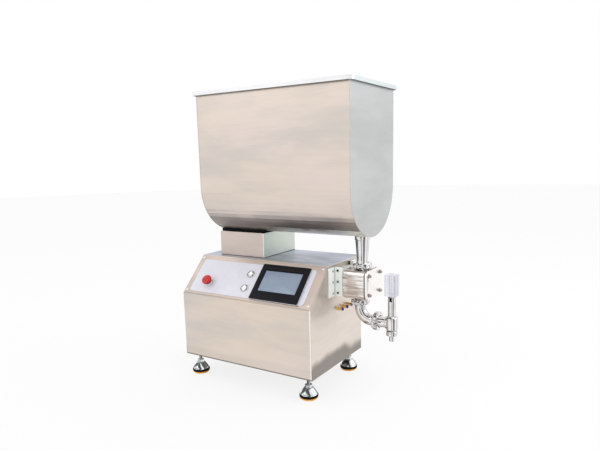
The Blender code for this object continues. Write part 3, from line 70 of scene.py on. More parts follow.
TUBE = 0.01905
BORE = 0.01755
FERRULE = 0.02525
HALF_GASKET = 0.001
BEND_RADIUS = 0.044
CLAMP_BOLT = 0.0385     # from a clamp's axis to its bolt
PORT_X = middle("hopper_outlet", X)
PORT_Y = middle("hopper_outlet", Y)
DROP_X = middle("clamp_outlet", X)
VALVE_JOINT = middle("clamp_valve", X)
VALVE_X = middle("valve_yoke", X)
INLET_Z = middle("clamp_inlet", Z)
OUTLET_Z = middle("clamp_outlet", Z)
LEVEL_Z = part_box("outlet_elbow")[0].z + FERRULE
LEVEL = shift(0, PORT_Y, LEVEL_Z) @ Matrix.Rotation(math.pi / 2, 4, "Y")

PLATE_SCREWS = 0.0603   # from the pump's axis to the face of a bracket's plate
CREASE = 0.0614         # and to the fold into its flange
FLANGE_SCREWS = 0.079

FINE = 64               # sides of a turned piece
MEDIUM = 32
COARSE = 24
SHARP = math.radians(32)


# ---------------------------------------------------------------- node trees

def srgb(r, g, b):
    """Linear colour of an 8-bit one."""
    out = []
    for c in (r, g, b):
        c /= 255
        out.append(c / 12.92 if c <= 0.04045 else ((c + 0.055) / 1.055) ** 2.4)
    return (*out, 1.0)


class Tree:
    """Node tree of a new material, or of the world given, with short calls for the nodes used here."""

    def __init__(self, name, world=None):
        self.block = world or bpy.data.materials.new(name)
        self.block.use_nodes = True
        self.nodes = self.block.node_tree.nodes
        self.links = self.block.node_tree.links
        self.shader = self.nodes["Background" if world else "Principled BSDF"]

    def set(self, **values):
        """Values that are the same all over, on the shader's own sockets."""
        for name, value in values.items():
            self.shader.inputs[name.replace("_", " ")].default_value = value
        return self

    def link(self, output, name):
        """Feeds one of the shader's own sockets."""
        self.links.new(output, self.shader.inputs[name])

    def add(self, kind, inputs):
        """Outputs of a new node."""
        return self.feed(self.nodes.new("ShaderNode" + kind), inputs)

    def feed(self, node, inputs):
        """Outputs of a node, once its inputs are linked or set, each by its name or number."""
        for socket, value in inputs.items():
            if isinstance(value, bpy.types.NodeSocket):
                self.links.new(value, node.inputs[socket])
            else:
                node.inputs[socket].default_value = value
        return node.outputs

    def place(self):
        """Position of the shaded point in its object's frame."""
        return self.add("TexCoord", {})["Object"]

    def place_part(self, axis):
        return self.add("SeparateXYZ", {0: self.place()})[axis]

    def normal_part(self, axis):
        return self.add("SeparateXYZ", {0: self.add("NewGeometry", {})["Normal"]})[axis]

    def noise(self, scale, stretch=(1, 1, 1), detail=3.0, rough=0.55):
        stretched = self.add("Mapping", {"Vector": self.place(), "Scale": stretch})["Vector"]
        return self.add("TexNoise", {"Vector": stretched, "Scale": scale, "Detail": detail,
                                     "Roughness": rough})["Fac"]

    def remap(self, value, low, high, to_low, to_high):
        """Smooth step from to_low, where value is low, to to_high."""
        node = self.nodes.new("ShaderNodeMapRange")
        node.interpolation_type = "SMOOTHSTEP"
        return self.feed(node, {"Value": value, "From Min": low, "From Max": high, "To Min": to_low,
                                "To Max": to_high})["Result"]

    def mix(self, share, first, second, blend="MIX"):
        """Colour between the first, where share is 0, and the second."""
        node = self.nodes.new("ShaderNodeMix")
        node.data_type = "RGBA"
        node.blend_type = blend
        return self.feed(node, {"Factor": share, 6: first, 7: second})[2]

    def math(self, operation, first, second=0.0):
        node = self.nodes.new("ShaderNodeMath")
        node.operation = operation
        return self.feed(node, {0: first, 1: second})[0]

    def product(self, shares):
        """All shares multiplied."""
        total = shares[0]
        for share in shares[1:]:
            total = self.math("MULTIPLY", total, share)
        return total

    def away(self, value, middle):
        """Distance of value from middle."""
        return self.math("ABSOLUTE", self.math("SUBTRACT", value, middle))

    def bump(self, height, strength, distance):
        made = self.add("Bump", {"Height": height, "Strength": strength, "Distance": distance})
        self.link(made["Normal"], "Normal")

    def seen_directly(self):
        """1 for what the camera, mirrors and glass see, 0 for diffuse light."""
        path = self.add("LightPath", {})
        total = self.math("MAXIMUM", path["Is Camera Ray"], path["Is Glossy Ray"])
        return self.math("MAXIMUM", total, path["Is Transmission Ray"])

    def blend(self, share, second, output):
        """The surface is the tree's own shader where share is 0 and the second where it is 1."""
        both = self.add("MixShader", {0: share, 1: self.shader.outputs[0], 2: second})[0]
        self.links.new(both, self.nodes[output].inputs["Surface"])


WARM = srgb(221, 208, 195)
ROSE = srgb(222, 209, 201)
PALE = srgb(216, 209, 203)
# Painted side tint for faces that look along +X
PAINTED_SIDE_TINT = srgb(203, 205, 205)
# Painted reflection tint for upward faces
TOP_REFLECTION_TINT = srgb(232, 236, 250)


def brushed(name, stretch, warm=WARM, second=ROSE, third=PALE, painted_side_tint=PAINTED_SIDE_TINT, roughness=0.4, grain=0.08,
            painted_light=None, top=TOP_REFLECTION_TINT):
    """Brushed stainless sheet: long fine scratches, cloudy patches that are partly handling marks and partly
    painted reflection, a painted side tint on faces that look along +X and a painted reflection tint on
    upward faces.
    The function given for painted light returns the share by which painted highlights, shade and reflections
    darken or brighten the sheet along folds, rims and bands."""
    tree = Tree(name).set(Metallic=1.0)
    scratches = tree.noise(1.0, stretch, 4.0, 0.65)
    clouds_and_reflections = tree.noise(2.3, (1.0, 1.0, 1.7), 3.0, 0.55)
    smears_and_reflections = tree.noise(6.5, (0.35, 0.35, 1.5), 4.0, 0.6)
    # Cloudy patches and smears: partly handling marks and random tone, partly painted reflection
    tint = tree.mix(tree.remap(clouds_and_reflections, 0.36, 0.64, 0, 1), warm, second)
    tint = tree.mix(tree.remap(smears_and_reflections, 0.42, 0.68, 0, 0.8), tint, third)
    # Painted side tint on faces looking along +X, and painted reflection tint on upward faces
    tint = tree.mix(tree.remap(tree.normal_part("X"), 0.35, 0.85, 0, 1), tint, painted_side_tint)
    tint = tree.mix(tree.remap(tree.normal_part("Z"), 0.8, 0.97, 0, 1), tint, top)
    # The smears also lighten and darken the sheet: painted reflection mottling
    shade = tree.math("MULTIPLY", tree.remap(scratches, 0.3, 0.7, 0.965, 1.015),
                      tree.remap(smears_and_reflections, 0.35, 0.7, 1.05, 0.92))
    # Painted highlights, shade and reflections, where a function for them is given
    if painted_light:
        shade = tree.math("MULTIPLY", shade, painted_light(tree))
    tree.link(tree.mix(1.0, tint, shade, "MULTIPLY"), "Base Color")
    tree.link(tree.remap(scratches, 0.25, 0.75, roughness - 0.06, roughness + 0.06), "Roughness")
    tree.bump(scratches, grain, 0.0003)
    return tree.block


def wrap_painted_light(tree):
    """Painted highlight along the folded edge on the right, painted shade along the lower hem, a painted dark
    line along the fold, a painted darker reflection band near the foot, and painted reflection patches on the
    top.
    """
    low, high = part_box("cabinet_wrap")
    x, z = tree.place_part("X"), tree.place_part("Z")
    fold = tree.away(z, ORIGIN.z + FRONT_TOP)
    sheen = tree.remap(tree.noise(7.0, (0.5, 1.6, 1), 3.0, 0.6), 0.36, 0.64, -0.26, 0.2)
    up = tree.remap(tree.normal_part("Z"), 0.8, 0.97, 0, 1)
    return tree.product([
        tree.math("ADD", 1.0, tree.math("MULTIPLY", up, sheen)),
        tree.remap(x, high.x - 0.0046, high.x - 0.0034, 1.0, 1.5),
        tree.remap(z, low.z + 0.003, low.z + 0.0056, 0.3, 1.0),
        tree.remap(fold, 0.0008, 0.0028, 0.76, 1.0),
        tree.remap(z, low.z + 0.02, low.z + 0.045, 0.94, 1.0),
    ])


def wall_painted_reflection(tree):
    """Painted reflection on the side walls: a darker lower part with an uneven upper edge, and a slightly
    darker upper part.
    """
    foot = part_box("side_panel_right")[0].z
    wander = tree.noise(9.0, (1, 1, 0.4), 2.0, 0.5)
    z = tree.math("SUBTRACT", tree.place_part("Z"), tree.remap(wander, 0.3, 0.7, 0.0, 0.03))
    return tree.product([
        tree.remap(z, foot + 0.012, foot + 0.046, 0.4, 1.0),
        tree.remap(tree.place_part("Z"), foot + 0.235, foot + 0.33, 1.0, 0.8),
    ])


def hopper_painted_light(tree):
    """Painted shadow line under the rim, painted dark reflection on the lower bend and a painted bright
    reflection strip along the very bottom.
    """
    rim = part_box("hopper_rim")[0].z
    wander = tree.remap(tree.noise(3.2, (1, 0.3, 0.3), 3.0, 0.6), 0.3, 0.7, -0.06, 0.06)
    turned = tree.math("ADD", tree.normal_part("Z"), wander)
    bottom_reflection_strip = tree.math("MULTIPLY", tree.remap(turned, -0.8, -0.87, 0, 1),
                      tree.remap(tree.place_part("X"), -0.12, 0.02, 0, 1))
    return tree.product([
        tree.remap(tree.place_part("Z"), rim - 0.006, rim - 0.002, 1.0, 0.62),
        tree.remap(turned, -0.53, -0.7, 1.0, 0.5),
        tree.remap(bottom_reflection_strip, 0, 1, 1.0, 3.2),
    ])


def box_painted_light(tree):
    """Painted highlight along the pedestal's right folded edge on its front, and painted shade along its
    foot.
    """
    low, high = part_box("pedestal_box")
    edge = tree.math("MULTIPLY", tree.remap(tree.place_part("X"), high.x - 0.004, high.x - 0.003, 0, 1),
                     tree.remap(tree.normal_part("Y"), -0.6, -0.3, 1, 0))
    return tree.product([
        tree.remap(edge, 0, 1, 1.0, 1.45),
        tree.remap(tree.place_part("Z"), low.z + 0.001, low.z + 0.003, 0.55, 1.0),
    ])


def crease_painted_shade(tree):
    """Painted shade: a dark line along the outside of the brackets' folds."""
    off_wall = tree.math("SUBTRACT", tree.place_part("X"), WALL_X)
    off_port = tree.away(tree.place_part("Y"), PORT_Y)
    return tree.math("MAXIMUM", tree.remap(off_wall, 0.0046, 0.0056, 0.1, 1.0),
                     tree.remap(off_port, CREASE, CREASE + 0.001, 0.1, 1.0))


# Painted reflection lines on polished metal: where the surface looks to along Y, how wide the line is, and
# its share of the full darkness
REFLECTION_LINES = ((-0.74, 0.13, 1.0), (-0.93, 0.04, 0.6), (-0.3, 0.08, 0.5), (0.33, 0.22, 0.9))


def polished(name, colour, roughness=0.1, wear=0.05, reflection_lines=0.0, worn=srgb(196, 197, 200), grain=0.03):
    """Mirror-like metal with faint buffing marks. The share given for reflection lines is how much the
    painted reflection lines, dark bands by where the surface looks along Y, darken it.
    """
    tree = Tree(name).set(Metallic=1.0)
    buffing = tree.noise(220.0, (1, 1, 3), 3.0, 0.6)
    haze = tree.noise(35.0, (1, 1, 1), 2.0, 0.5)
    tint = tree.mix(tree.remap(haze, 0.35, 0.7, 0, 0.35), colour, worn)
    # Painted reflection lines, darker where the surface looks along the listed directions
    if reflection_lines:
        side = tree.normal_part("Y")
        painted_light = [tree.remap(tree.away(side, place), half * 0.35, half, 1 - reflection_lines * share, 1.0)
                 for place, half, share in REFLECTION_LINES]
        tint = tree.mix(1.0, tint, tree.product(painted_light), "MULTIPLY")
    tree.link(tint, "Base Color")
    tree.link(tree.remap(haze, 0.3, 0.7, roughness - wear, roughness + wear), "Roughness")
    tree.bump(buffing, grain, 0.0002)
    return tree.block


def streaked_reflections(name, light, middle, dark, stretch):
    """Machined stainless: long soft light and dark streaks across it are a painted reflection of the
    surroundings; the fine ones also give tool-mark bumps.
    """
    tree = Tree(name).set(Metallic=1.0)
    wide = tree.noise(1.0, stretch, 2.0, 0.5)
    fine = tree.noise(1.0, tuple(3.5 * c for c in stretch), 2.0, 0.5)
    tint = tree.mix(tree.remap(wide, 0.42, 0.6, 0, 1), light, middle)
    tint = tree.mix(tree.remap(fine, 0.58, 0.72, 0, 0.8), tint, dark)
    tree.link(tint, "Base Color")
    tree.link(tree.remap(fine, 0.3, 0.7, 0.14, 0.28), "Roughness")
    tree.bump(fine, 0.05, 0.0003)
    return tree.block


def plastic(name, colour, worn, roughness, texture, strength, painted_light=None, specular=0.5):
    """Moulded or painted surface with a fine skin and uneven gloss."""
    tree = Tree(name).set(Metallic=0.0, Specular_IOR_Level=specular)
    skin = tree.noise(texture, (1, 1, 1), 2.0, 0.6)
    patches = tree.noise(18.0, (1, 1, 1), 3.0, 0.6)
    tint = tree.mix(tree.remap(patches, 0.35, 0.75, 0, 1), colour, worn)
    # Painted shade, where a function for it is given
    if painted_light:
        tint = tree.mix(1.0, tint, painted_light(tree), "MULTIPLY")
    tree.link(tint, "Base Color")
    tree.link(tree.remap(patches, 0.3, 0.7, roughness - 0.05, roughness + 0.06), "Roughness")
    tree.bump(skin, strength, 0.0002)
    return tree.block


def cast(name, colour, worn):
    """Sand-cast and machined metal."""
    tree = Tree(name).set(Metallic=0.85)
    pits = tree.noise(260.0, (1, 1, 1), 5.0, 0.7)
    patches = tree.noise(22.0, (1, 1, 1), 3.0, 0.6)
    tree.link(tree.mix(tree.remap(patches, 0.35, 0.7, 0, 1), colour, worn), "Base Color")
    tree.link(tree.remap(pits, 0.3, 0.7, 0.42, 0.62), "Roughness")
    tree.bump(pits, 0.25, 0.0004)
    return tree.block


ALONG_X = (3.0, 420.0, 420.0)
UPRIGHT = (380.0, 380.0, 2.6)
# The cabinet's top faces take a darker painted reflection tint, of the hopper above them
FRONT_STEEL = brushed("steel_front", ALONG_X, painted_light=wrap_painted_light, top=srgb(176, 179, 193))
HOPPER_STEEL = brushed("steel_hopper", ALONG_X, painted_light=hopper_painted_light)
END_STEEL = brushed("steel_end", UPRIGHT, painted_side_tint=srgb(199, 201, 201), roughness=0.45)
BOX_STEEL = brushed("steel_box", ALONG_X, warm=srgb(218, 203, 192), second=srgb(214, 200, 192),
                    third=srgb(210, 198, 190), painted_side_tint=srgb(208, 215, 206), roughness=0.42, painted_light=box_painted_light)
WALL_STEEL = brushed("steel_wall", (380.0, 3.0, 420.0), painted_side_tint=srgb(228, 217, 207), roughness=0.34,
                     painted_light=wall_painted_reflection)
# Whiter tints on the rim: a painted highlight from the bright surroundings
RIM_STEEL = brushed("steel_rim", ALONG_X, warm=srgb(236, 236, 238), second=srgb(230, 232, 236),
                    third=srgb(240, 240, 240), painted_side_tint=srgb(226, 234, 236), roughness=0.28)
FRAME_STEEL = brushed("steel_plate", ALONG_X, warm=srgb(205, 188, 178), second=srgb(212, 196, 186),
                      third=srgb(200, 190, 184), roughness=0.36)
POLISHED = polished("steel_polished", srgb(240, 237, 236), reflection_lines=0.84)
# Pump case and valve cylinder: their light and dark streaks are painted reflections
CASE_STEEL = streaked_reflections("steel_case", srgb(244, 240, 238), srgb(208, 198, 194), srgb(122, 106, 104), (5, 5, 95))
ALUMINIUM = streaked_reflections("anodised_aluminium", srgb(234, 234, 243), srgb(214, 214, 225), srgb(170, 170, 188),
                     (70, 70, 1.5))
COVER_STEEL = polished("steel_cover", srgb(254, 250, 247), 0.24, 0.06, worn=srgb(246, 242, 240), grain=0.006)
CHROME = polished("chrome", srgb(238, 242, 244), 0.06, 0.03, reflection_lines=0.9)
ZINC = polished("zinc", srgb(206, 208, 212), 0.26, 0.06)
BRASS = polished("brass_turned", srgb(250, 212, 128), 0.18, 0.06, reflection_lines=0.86, worn=srgb(226, 178, 96))
SCREW = polished("screw_steel", srgb(168, 166, 164), 0.28, 0.06)
DARK_SCREW = polished("screw_dark", srgb(44, 42, 44), 0.34, 0.06)
GREY_SCREW = polished("screw_grey", srgb(120, 122, 122), 0.34, 0.06)
NUT = polished("nut_steel", srgb(168, 158, 156), 0.22, 0.06, reflection_lines=0.5)
WELD = polished("weld_bead", srgb(214, 204, 196), 0.34, 0.08)
DARK_CAST = cast("dark_casting", srgb(88, 92, 98), srgb(70, 74, 80))
OVERLAY = plastic("overlay_film", srgb(229, 229, 238), srgb(224, 223, 234), 0.42, 900.0, 0.04)
PAINT_LOOK = (srgb(244, 247, 243), srgb(236, 241, 238), 0.38, 500.0, 0.12)
PAINT = plastic("bracket_paint", *PAINT_LOOK)
# Copy of the bracket paint with painted shade along the folds
BRACKET_PAINT_SHADED = plastic("bracket_paint_crease_shade", *PAINT_LOOK, painted_light=crease_painted_shade)
BLACK = plastic("black_moulding", srgb(18, 18, 23), srgb(26, 26, 32), 0.42, 900.0, 0.1, specular=0.12)
RUBBER = plastic("rubber", srgb(7, 5, 7), srgb(14, 12, 14), 0.72, 420.0, 0.3, specular=0.15)
RED = plastic("red_moulding", srgb(206, 34, 34), srgb(190, 24, 28), 0.15, 700.0, 0.05)
BLUE = plastic("blue_collar", srgb(28, 66, 190), srgb(22, 52, 160), 0.3, 600.0, 0.05)
ORANGE = plastic("orange_pad", srgb(255, 182, 56), srgb(248, 166, 44), 0.5, 380.0, 0.2)
# The display's blue-grey is a painted reflection in its dark glass
GLASS = plastic("screen_glass", srgb(142, 158, 178), srgb(136, 152, 174), 0.16, 1200.0, 0.01)
FLAG_CLOTH = plastic("flag_cloth", srgb(38, 38, 42), srgb(30, 30, 34), 0.9, 600.0, 0.08)


# ---------------------------------------------------------------- geometry

def facing(origin, axis, up=None):
    """Frame at origin whose Z runs along axis."""
    z = Vector(axis).normalized()
    side = Vector(up) if up else (Vector((0, 0, 1)) if abs(z.z) < 0.9 else Vector((0, 1, 0)))
    x = side.cross(z).normalized()
    y = z.cross(x)
    return Matrix.Translation(origin) @ Matrix((x, y, z)).transposed().to_4x4()


def regular(radius, sides, turn=0.0):
    """Regular polygon, anticlockwise."""
    return [(radius * math.cos(turn + 2 * math.pi * k / sides),
             radius * math.sin(turn + 2 * math.pi * k / sides)) for k in range(sides)]


def quarter(steps):
    """(cosine, sine) at even steps of a quarter turn, without its start."""
    angles = [math.pi / 2 * k / steps for k in range(1, steps + 1)]
    return [(math.cos(angle), math.sin(angle)) for angle in angles]


def rounded(width, height, radius, steps=6, centre=(0, 0)):
    """Rounded rectangle, anticlockwise."""
    points = []
    for corner, (sx, sy) in enumerate(((1, 1), (-1, 1), (-1, -1), (1, -1))):
        cx = centre[0] + sx * (width / 2 - radius)
        cy = centre[1] + sy * (height / 2 - radius)
        for k in range(steps + 1):
            angle = math.pi / 2 * (corner + k / steps)
            points.append((cx + radius * math.cos(angle), cy + radius * math.sin(angle)))
    return points


def inset(outline, amount):
    """Anticlockwise outline moved inward by amount."""
    if amount <= 0:
        return list(outline)
    out = []
    count = len(outline)
    for k in range(count):
        a, b, c = (Vector(outline[(k + d) % count]) for d in (-1, 0, 1))
        first, second = (b - a).normalized(), (c - b).normalized()
        normal = Vector((-(first.y + second.y), first.x + second.x))
        if normal.length < 1e-9:
            out.append(tuple(b))
            continue
        normal.normalize()
        across = max(0.3, normal.dot(Vector((-first.y, first.x))))
        out.append(tuple(b + normal * amount / across))
    return out


def softened(profile, radius=0.0004):
    """The profile with each inner corner cut to a small round."""
    out = [profile[0]]
    for before, here, after in zip(profile, profile[1:], profile[2:]):
        a, b, c = Vector(before), Vector(here), Vector(after)
        first, second = a - b, c - b
        reach = min(radius, first.length * 0.45, second.length * 0.45)
        if reach < 1e-6 or first.length < 1e-6 or second.length < 1e-6:
            out.append(here)
            continue
        p = b + first.normalized() * reach
        q = b + second.normalized() * reach
        out += [tuple(p), tuple((p + q) / 4 + b / 2), tuple(q)]
    out.append(profile[-1])
    return out


def new_object(name, data):
    """Object around a mesh, a light or a camera, in the scene."""
    made = bpy.data.objects.new(name, data)
    bpy.context.scene.collection.objects.link(made)
    return made


def new_mesh(name, bm, material):
    """Object from a bmesh, which is used up."""
    mesh = bpy.data.meshes.new(name)
    bm.to_mesh(mesh)
    bm.free()
    mesh.materials.append(material)
    return new_object(name, mesh)


def finish_mesh(name, bm, material, replaced=(), place=None, body="machine"):
    """Object from a bmesh, smooth but for its sharp edges, riding on a body."""
    bmesh.ops.remove_doubles(bm, verts=bm.verts, dist=1e-6)
    bmesh.ops.recalc_face_normals(bm, faces=bm.faces)
    if place is not None:
        bmesh.ops.transform(bm, matrix=place, verts=bm.verts)
    piece = new_mesh(name, bm, material)
    piece.data.shade_smooth()
    piece.data.set_sharp_from_angle(angle=SHARP)
    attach(piece, body)
    if replaced:
        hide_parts(*replaced)
    return piece


def bridge(bm, first, second):
    """Walls between two closed rings of vertices."""
    count = len(first)
    for k in range(count):
        bm.faces.new((first[k], first[(k + 1) % count], second[(k + 1) % count], second[k]))


def join(bm, rings, caps=True):
    """Walls between neighbouring rings, and a face on the first and the last."""
    for first, second in zip(rings, rings[1:]):
        bridge(bm, first, second)
    if caps:
        bm.faces.new(reversed(rings[0]))
        bm.faces.new(rings[-1])


def stack(bm, outline, levels):
    """Rings of vertices: the outline at each (inset, height)."""
    return [[bm.verts.new((*p, z)) for p in inset(outline, shrink)] for shrink, z in levels]


def add_turned(bm, profile, sides=FINE, place=None):
    """Solid of revolution about Z. The profile is (radius, height) pairs; a zero radius closes an end."""
    made = []
    last = []
    for radius, height in profile:
        ring = [bm.verts.new((*p, height)) for p in regular(radius, sides if radius > 1e-7 else 1)]
        if len(last) + len(ring) > 2:
            for k in range(sides if last else 0):
                after = (k + 1) % sides
                if len(last) == 1:
                    bm.faces.new((last[0], ring[after], ring[k]))
                elif len(ring) == 1:
                    bm.faces.new((ring[0], last[k], last[after]))
                else:
                    bm.faces.new((last[k], last[after], ring[after], ring[k]))
        made += ring
        last = ring
    if place is not None:
        bmesh.ops.transform(bm, matrix=place, verts=made)


def make_turned(name, profile, material, replaced=(), place=None, body="machine", sides=FINE):
    """Turned piece of its own."""
    bm = bmesh.new()
    add_turned(bm, profile, sides)
    return finish_mesh(name, bm, material, replaced, place, body)


def add_prism(bm, outline, low, high, place=None, edge=0.0, steps=2):
    """Closed outline in XY raised from low to high, its rims rounded by edge."""
    curve = [(edge, 0.0)]
    if edge > 0:
        curve += [(edge * (1 - sine), edge * (1 - cosine)) for cosine, sine in quarter(steps)]
    levels = [(shrink, low + rise) for shrink, rise in curve]
    levels += [(shrink, high - rise) for shrink, rise in reversed(curve)]
    rings = stack(bm, outline, levels)
    join(bm, rings)
    if place is not None:
        bmesh.ops.transform(bm, matrix=place, verts=[v for ring in rings for v in ring])


def make_prism(name, outline, low, high, material, replaced=(), place=None, edge=0.0, steps=2):
    """Prism of its own, on the machine."""
    bm = bmesh.new()
    add_prism(bm, outline, low, high, None, edge, steps)
    finish_mesh(name, bm, material, replaced, place)


def add_tube(bm, points, radius, sides=FINE, inner=None):
    """Round bar swept along points, or a pipe if inner, its bore's radius, is given."""
    last = len(points) - 1
    directions = [(points[min(k + 1, last)] - points[max(k - 1, 0)]).normalized() for k in range(last + 1)]
    side = Vector((1, 0, 0)) if abs(directions[0].y) > 0.9 else Vector((0, 1, 0))
    shells = []
    for size in (radius, inner) if inner else (radius,):
        rings = []
        for point, direction in zip(points, directions):
            across = (side - direction * side.dot(direction)).normalized()
            other = direction.cross(across)
            rings.append([bm.verts.new(point + size * (across * x + other * y))
                          for x, y in regular(1.0, sides)])
        join(bm, rings, caps=not inner)
        shells.append(rings)
    if inner:
        bridge(bm, shells[0][0], shells[1][0])
        bridge(bm, shells[0][-1], shells[1][-1])


def add_domed_nut(bm, radius, height, place):
    """Acorn nut: hexagon base with a round dome."""
    waist = height * 0.52
    span = radius * 0.8
    add_prism(bm, regular(radius, 6, math.pi / 6), 0, waist, place, 0.0006)
    dome = [(span * cosine, waist + (height - waist) * sine) for cosine, sine in quarter(8)]
    add_turned(bm, [(0.0, waist - 0.0008), (span, waist - 0.0008), *dome], MEDIUM, place)


def add_pan_screw(bm, radius, height, place, recess=0.45):
    """Low round head with a round socket."""
    add_turned(bm, softened([
        (0.0, -0.0006), (radius, -0.0006), (radius, height * 0.45),
        (radius * 0.86, height * 0.9), (radius * 0.62, height), (radius * recess, height),
    ], 0.0003) + [(radius * recess, height * 0.35), (0.0, height * 0.35)], 28, place)


def add_sector(bm, profile, start, end, steps, place):
    """Closed profile of (radius, height) swept about Z through part of a turn."""
    rings = []
    for k in range(steps + 1):
        angle = start + (end - start) * k / steps
        rings.append([bm.verts.new((r * math.cos(angle), r * math.sin(angle), h)) for r, h in profile])
    join(bm, rings)
    bmesh.ops.transform(bm, matrix=place, verts=[v for ring in rings for v in ring])


def add_block(bm, low, high, place):
    """Box with rounded upright edges and eased rims."""
    width, depth = high[0] - low[0], high[1] - low[1]
    centre = ((low[0] + high[0]) / 2, (low[1] + high[1]) / 2)
    add_prism(bm, rounded(width, depth, min(width, depth) * 0.22, 4, centre), low[2], high[2], place, 0.0008)


def mm(*pairs, base=0.0):
    """Profile from (radius, height above base) pairs in millimetres."""
    return [(radius / 1000, base + height / 1000) for radius, height in pairs]


def weld_bead(radius, height, out, along):
    """Closed oval profile for a weld round a pipe."""
    return [(radius + out * math.cos(a), height + along * math.sin(a))
            for a in (2 * math.pi * k / 10 for k in range(11))]


def dress(name, material, width, angle=30):
    """A kept CAD node in one of the materials above, with its edges eased by modifiers only."""
    node = NODES[name]
    weld = node.modifiers.new("weld", "WELD")
    weld.merge_threshold = 1e-5
    ease = node.modifiers.new("ease", "BEVEL")
    ease.width = width
    ease.segments = 2
    ease.limit_method = "ANGLE"
    ease.angle_limit = math.radians(angle)
    ease.harden_normals = True
    for entry in node.material_slots:
        entry.material = material


# ---------------------------------------------------------------- sheet metal

for material, width, names in (
    (FRONT_STEEL, 0.0009, "cabinet_wrap"),
    (FRONT_STEEL, 0.0006, "base_tray"),
    (FRONT_STEEL, 0.0003, "rear_panel"),
    (WALL_STEEL, 0.0006, "side_panel_left side_panel_right"),
    (FRAME_STEEL, 0.0003, "control_plate"),
    (BOX_STEEL, 0.0009, "pedestal_box"),
    (END_STEEL, 0.0004, "hopper_end_left hopper_end_right"),
    (RIM_STEEL, 0.0008, "hopper_rim"),
    (RUBBER, 0.0004, "saddle_pad"),
    (PAINT, 0.001, "gear_case"),
    (BRACKET_PAINT_SHADED, 0.0006, "bracket_front bracket_rear"),
    (DARK_CAST, 0.001, "motor_reducer"),
    (DARK_CAST, 0.0005, "control_module"),
    (BLACK, 0.001, "servo_motor"),
    (BLACK, 0.0003, "cable_gland"),
    (OVERLAY, 0.0002, "overlay_panel"),
    (SCREW, 0.0001, "gear_drive gear_idler bearing_drive bearing_idler"),
    (POLISHED, 0.0002, "shaft_drive shaft_idler rotor_drive rotor_idler valve_stem"),
):
    for name in names.split():
        dress(name, material, width)
dress("hopper_shell", HOPPER_STEEL, 0.0003, 50)


def make_hopper_welds():
    """Ground weld bead along each end panel's edge: down one wall, round the bottom and up the other."""
    low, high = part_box("hopper_shell")
    middle_y = middle("hopper_shell", Y)
    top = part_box("hopper_rim")[0].z
    sunk = 0.0002
    radius = (high.y - low.y) / 2 - sunk
    axis = low.z + sunk + radius
    steps = 64
    bend = [math.pi * (1 + k / steps) for k in range(steps + 1)]
    line = [(-radius, top), (-radius, (top + axis) / 2)]
    line += [(radius * math.cos(angle), axis + radius * math.sin(angle)) for angle in bend]
    line += [(radius, (top + axis) / 2), (radius, top)]
    for name, x in (("left", low.x), ("right", high.x)):
        bm = bmesh.new()
        add_tube(bm, [Vector((x, middle_y + y, z)) for y, z in line], 0.0011, 8)
        finish_mesh("hopper_weld_" + name, bm, WELD)


def make_pedestal_shadow_strip():
    """Thin dark strip under the pedestal's walls: painted shade where the gap under them falls."""
    low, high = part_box("pedestal_box")
    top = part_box("cabinet_wrap")[1].z
    outline = rounded(high.x - low.x + 0.0016, high.y - low.y + 0.0006, 0.003, 4,
                      (middle("pedestal_box", X), middle("pedestal_box", Y)))
    make_prism("pedestal_shadow_strip", outline, top + 0.00005, top + 0.0015, RUBBER, edge=0.0004)


make_hopper_welds()
make_pedestal_shadow_strip()


# ---------------------------------------------------------------- control panel

def slope_span(node):
    """Lowest and highest corner of a CAD node in the sloping panel's frame."""
    back = SLOPE.inverted()
    points = [back @ v.co for v in NODES[node].data.vertices]
    return (Vector(min(p[k] for p in points) for k in range(3)),
            Vector(max(p[k] for p in points) for k in range(3)))


FACE = slope_span("overlay_panel")[1].z     # outer face of the overlay
THREAD = 0.011                              # radius of the operators' threads below it


def slope_middle(node):
    """Middle of a CAD node in the sloping panel's frame."""
    low, high = slope_span(node)
    return (low + high) / 2


def slope_place(node):
    """Frame on the slope under the middle of a node."""
    centre = slope_middle(node)
    return SLOPE @ shift(centre.x, centre.y, 0)


def make_screen():
    """Operator panel: aluminium carrier, black front with a rounded window, and the display under glass."""
    low, high = slope_span("hmi_housing")
    width, height = high.x - low.x, high.y - low.y
    glass_low, glass_high = slope_span("hmi_screen")
    view = (glass_high.x - glass_low.x, glass_high.y - glass_low.y)
    glass, centre = slope_middle("hmi_screen"), slope_middle("hmi_housing")
    offset = (glass.x - centre.x, glass.y - centre.y)
    place = slope_place("hmi_housing")
    lip = high.z - 0.0022
    surface = high.z - 0.0013

    def window(grow, radius, steps=8):
        return rounded(view[0] + 2 * grow, view[1] + 2 * grow, radius, steps, offset)

    bm = bmesh.new()
    add_prism(bm, rounded(width, height, 0.005, 8), FACE + 0.0001, lip, edge=0.0008)
    add_prism(bm, rounded(width - 0.014, height - 0.014, 0.003, 6), low.z, FACE - 0.003, edge=0.001)
    finish_mesh("hmi_carrier", bm, ZINC, ("hmi_housing",), place)

    bm = bmesh.new()
    rings = stack(bm, rounded(width - 0.0012, height - 0.0012, 0.0046, 8),
                  [(0.0, lip), (0.0, high.z - 0.001), (0.0004, high.z - 0.0003), (0.0012, high.z)])
    for grow, z in ((0.0016, high.z), (0.0006, high.z - 0.0003), (0.0, high.z - 0.0012), (0.0, lip)):
        rings += stack(bm, window(grow, 0.002 + grow), [(0.0, z)])
    join(bm, rings + rings[:1], caps=False)
    finish_mesh("hmi_bezel", bm, BLACK, (), place)

    make_prism("hmi_border", window(-0.0002, 0.0018), lip - 0.0005, surface, BLACK, (),
               place, 0.0002)
    make_prism("hmi_display", window(-0.005, 0.001, 4), surface - 0.0002, surface + 0.0002, GLASS,
               ("hmi_screen",), place, 0.0001)


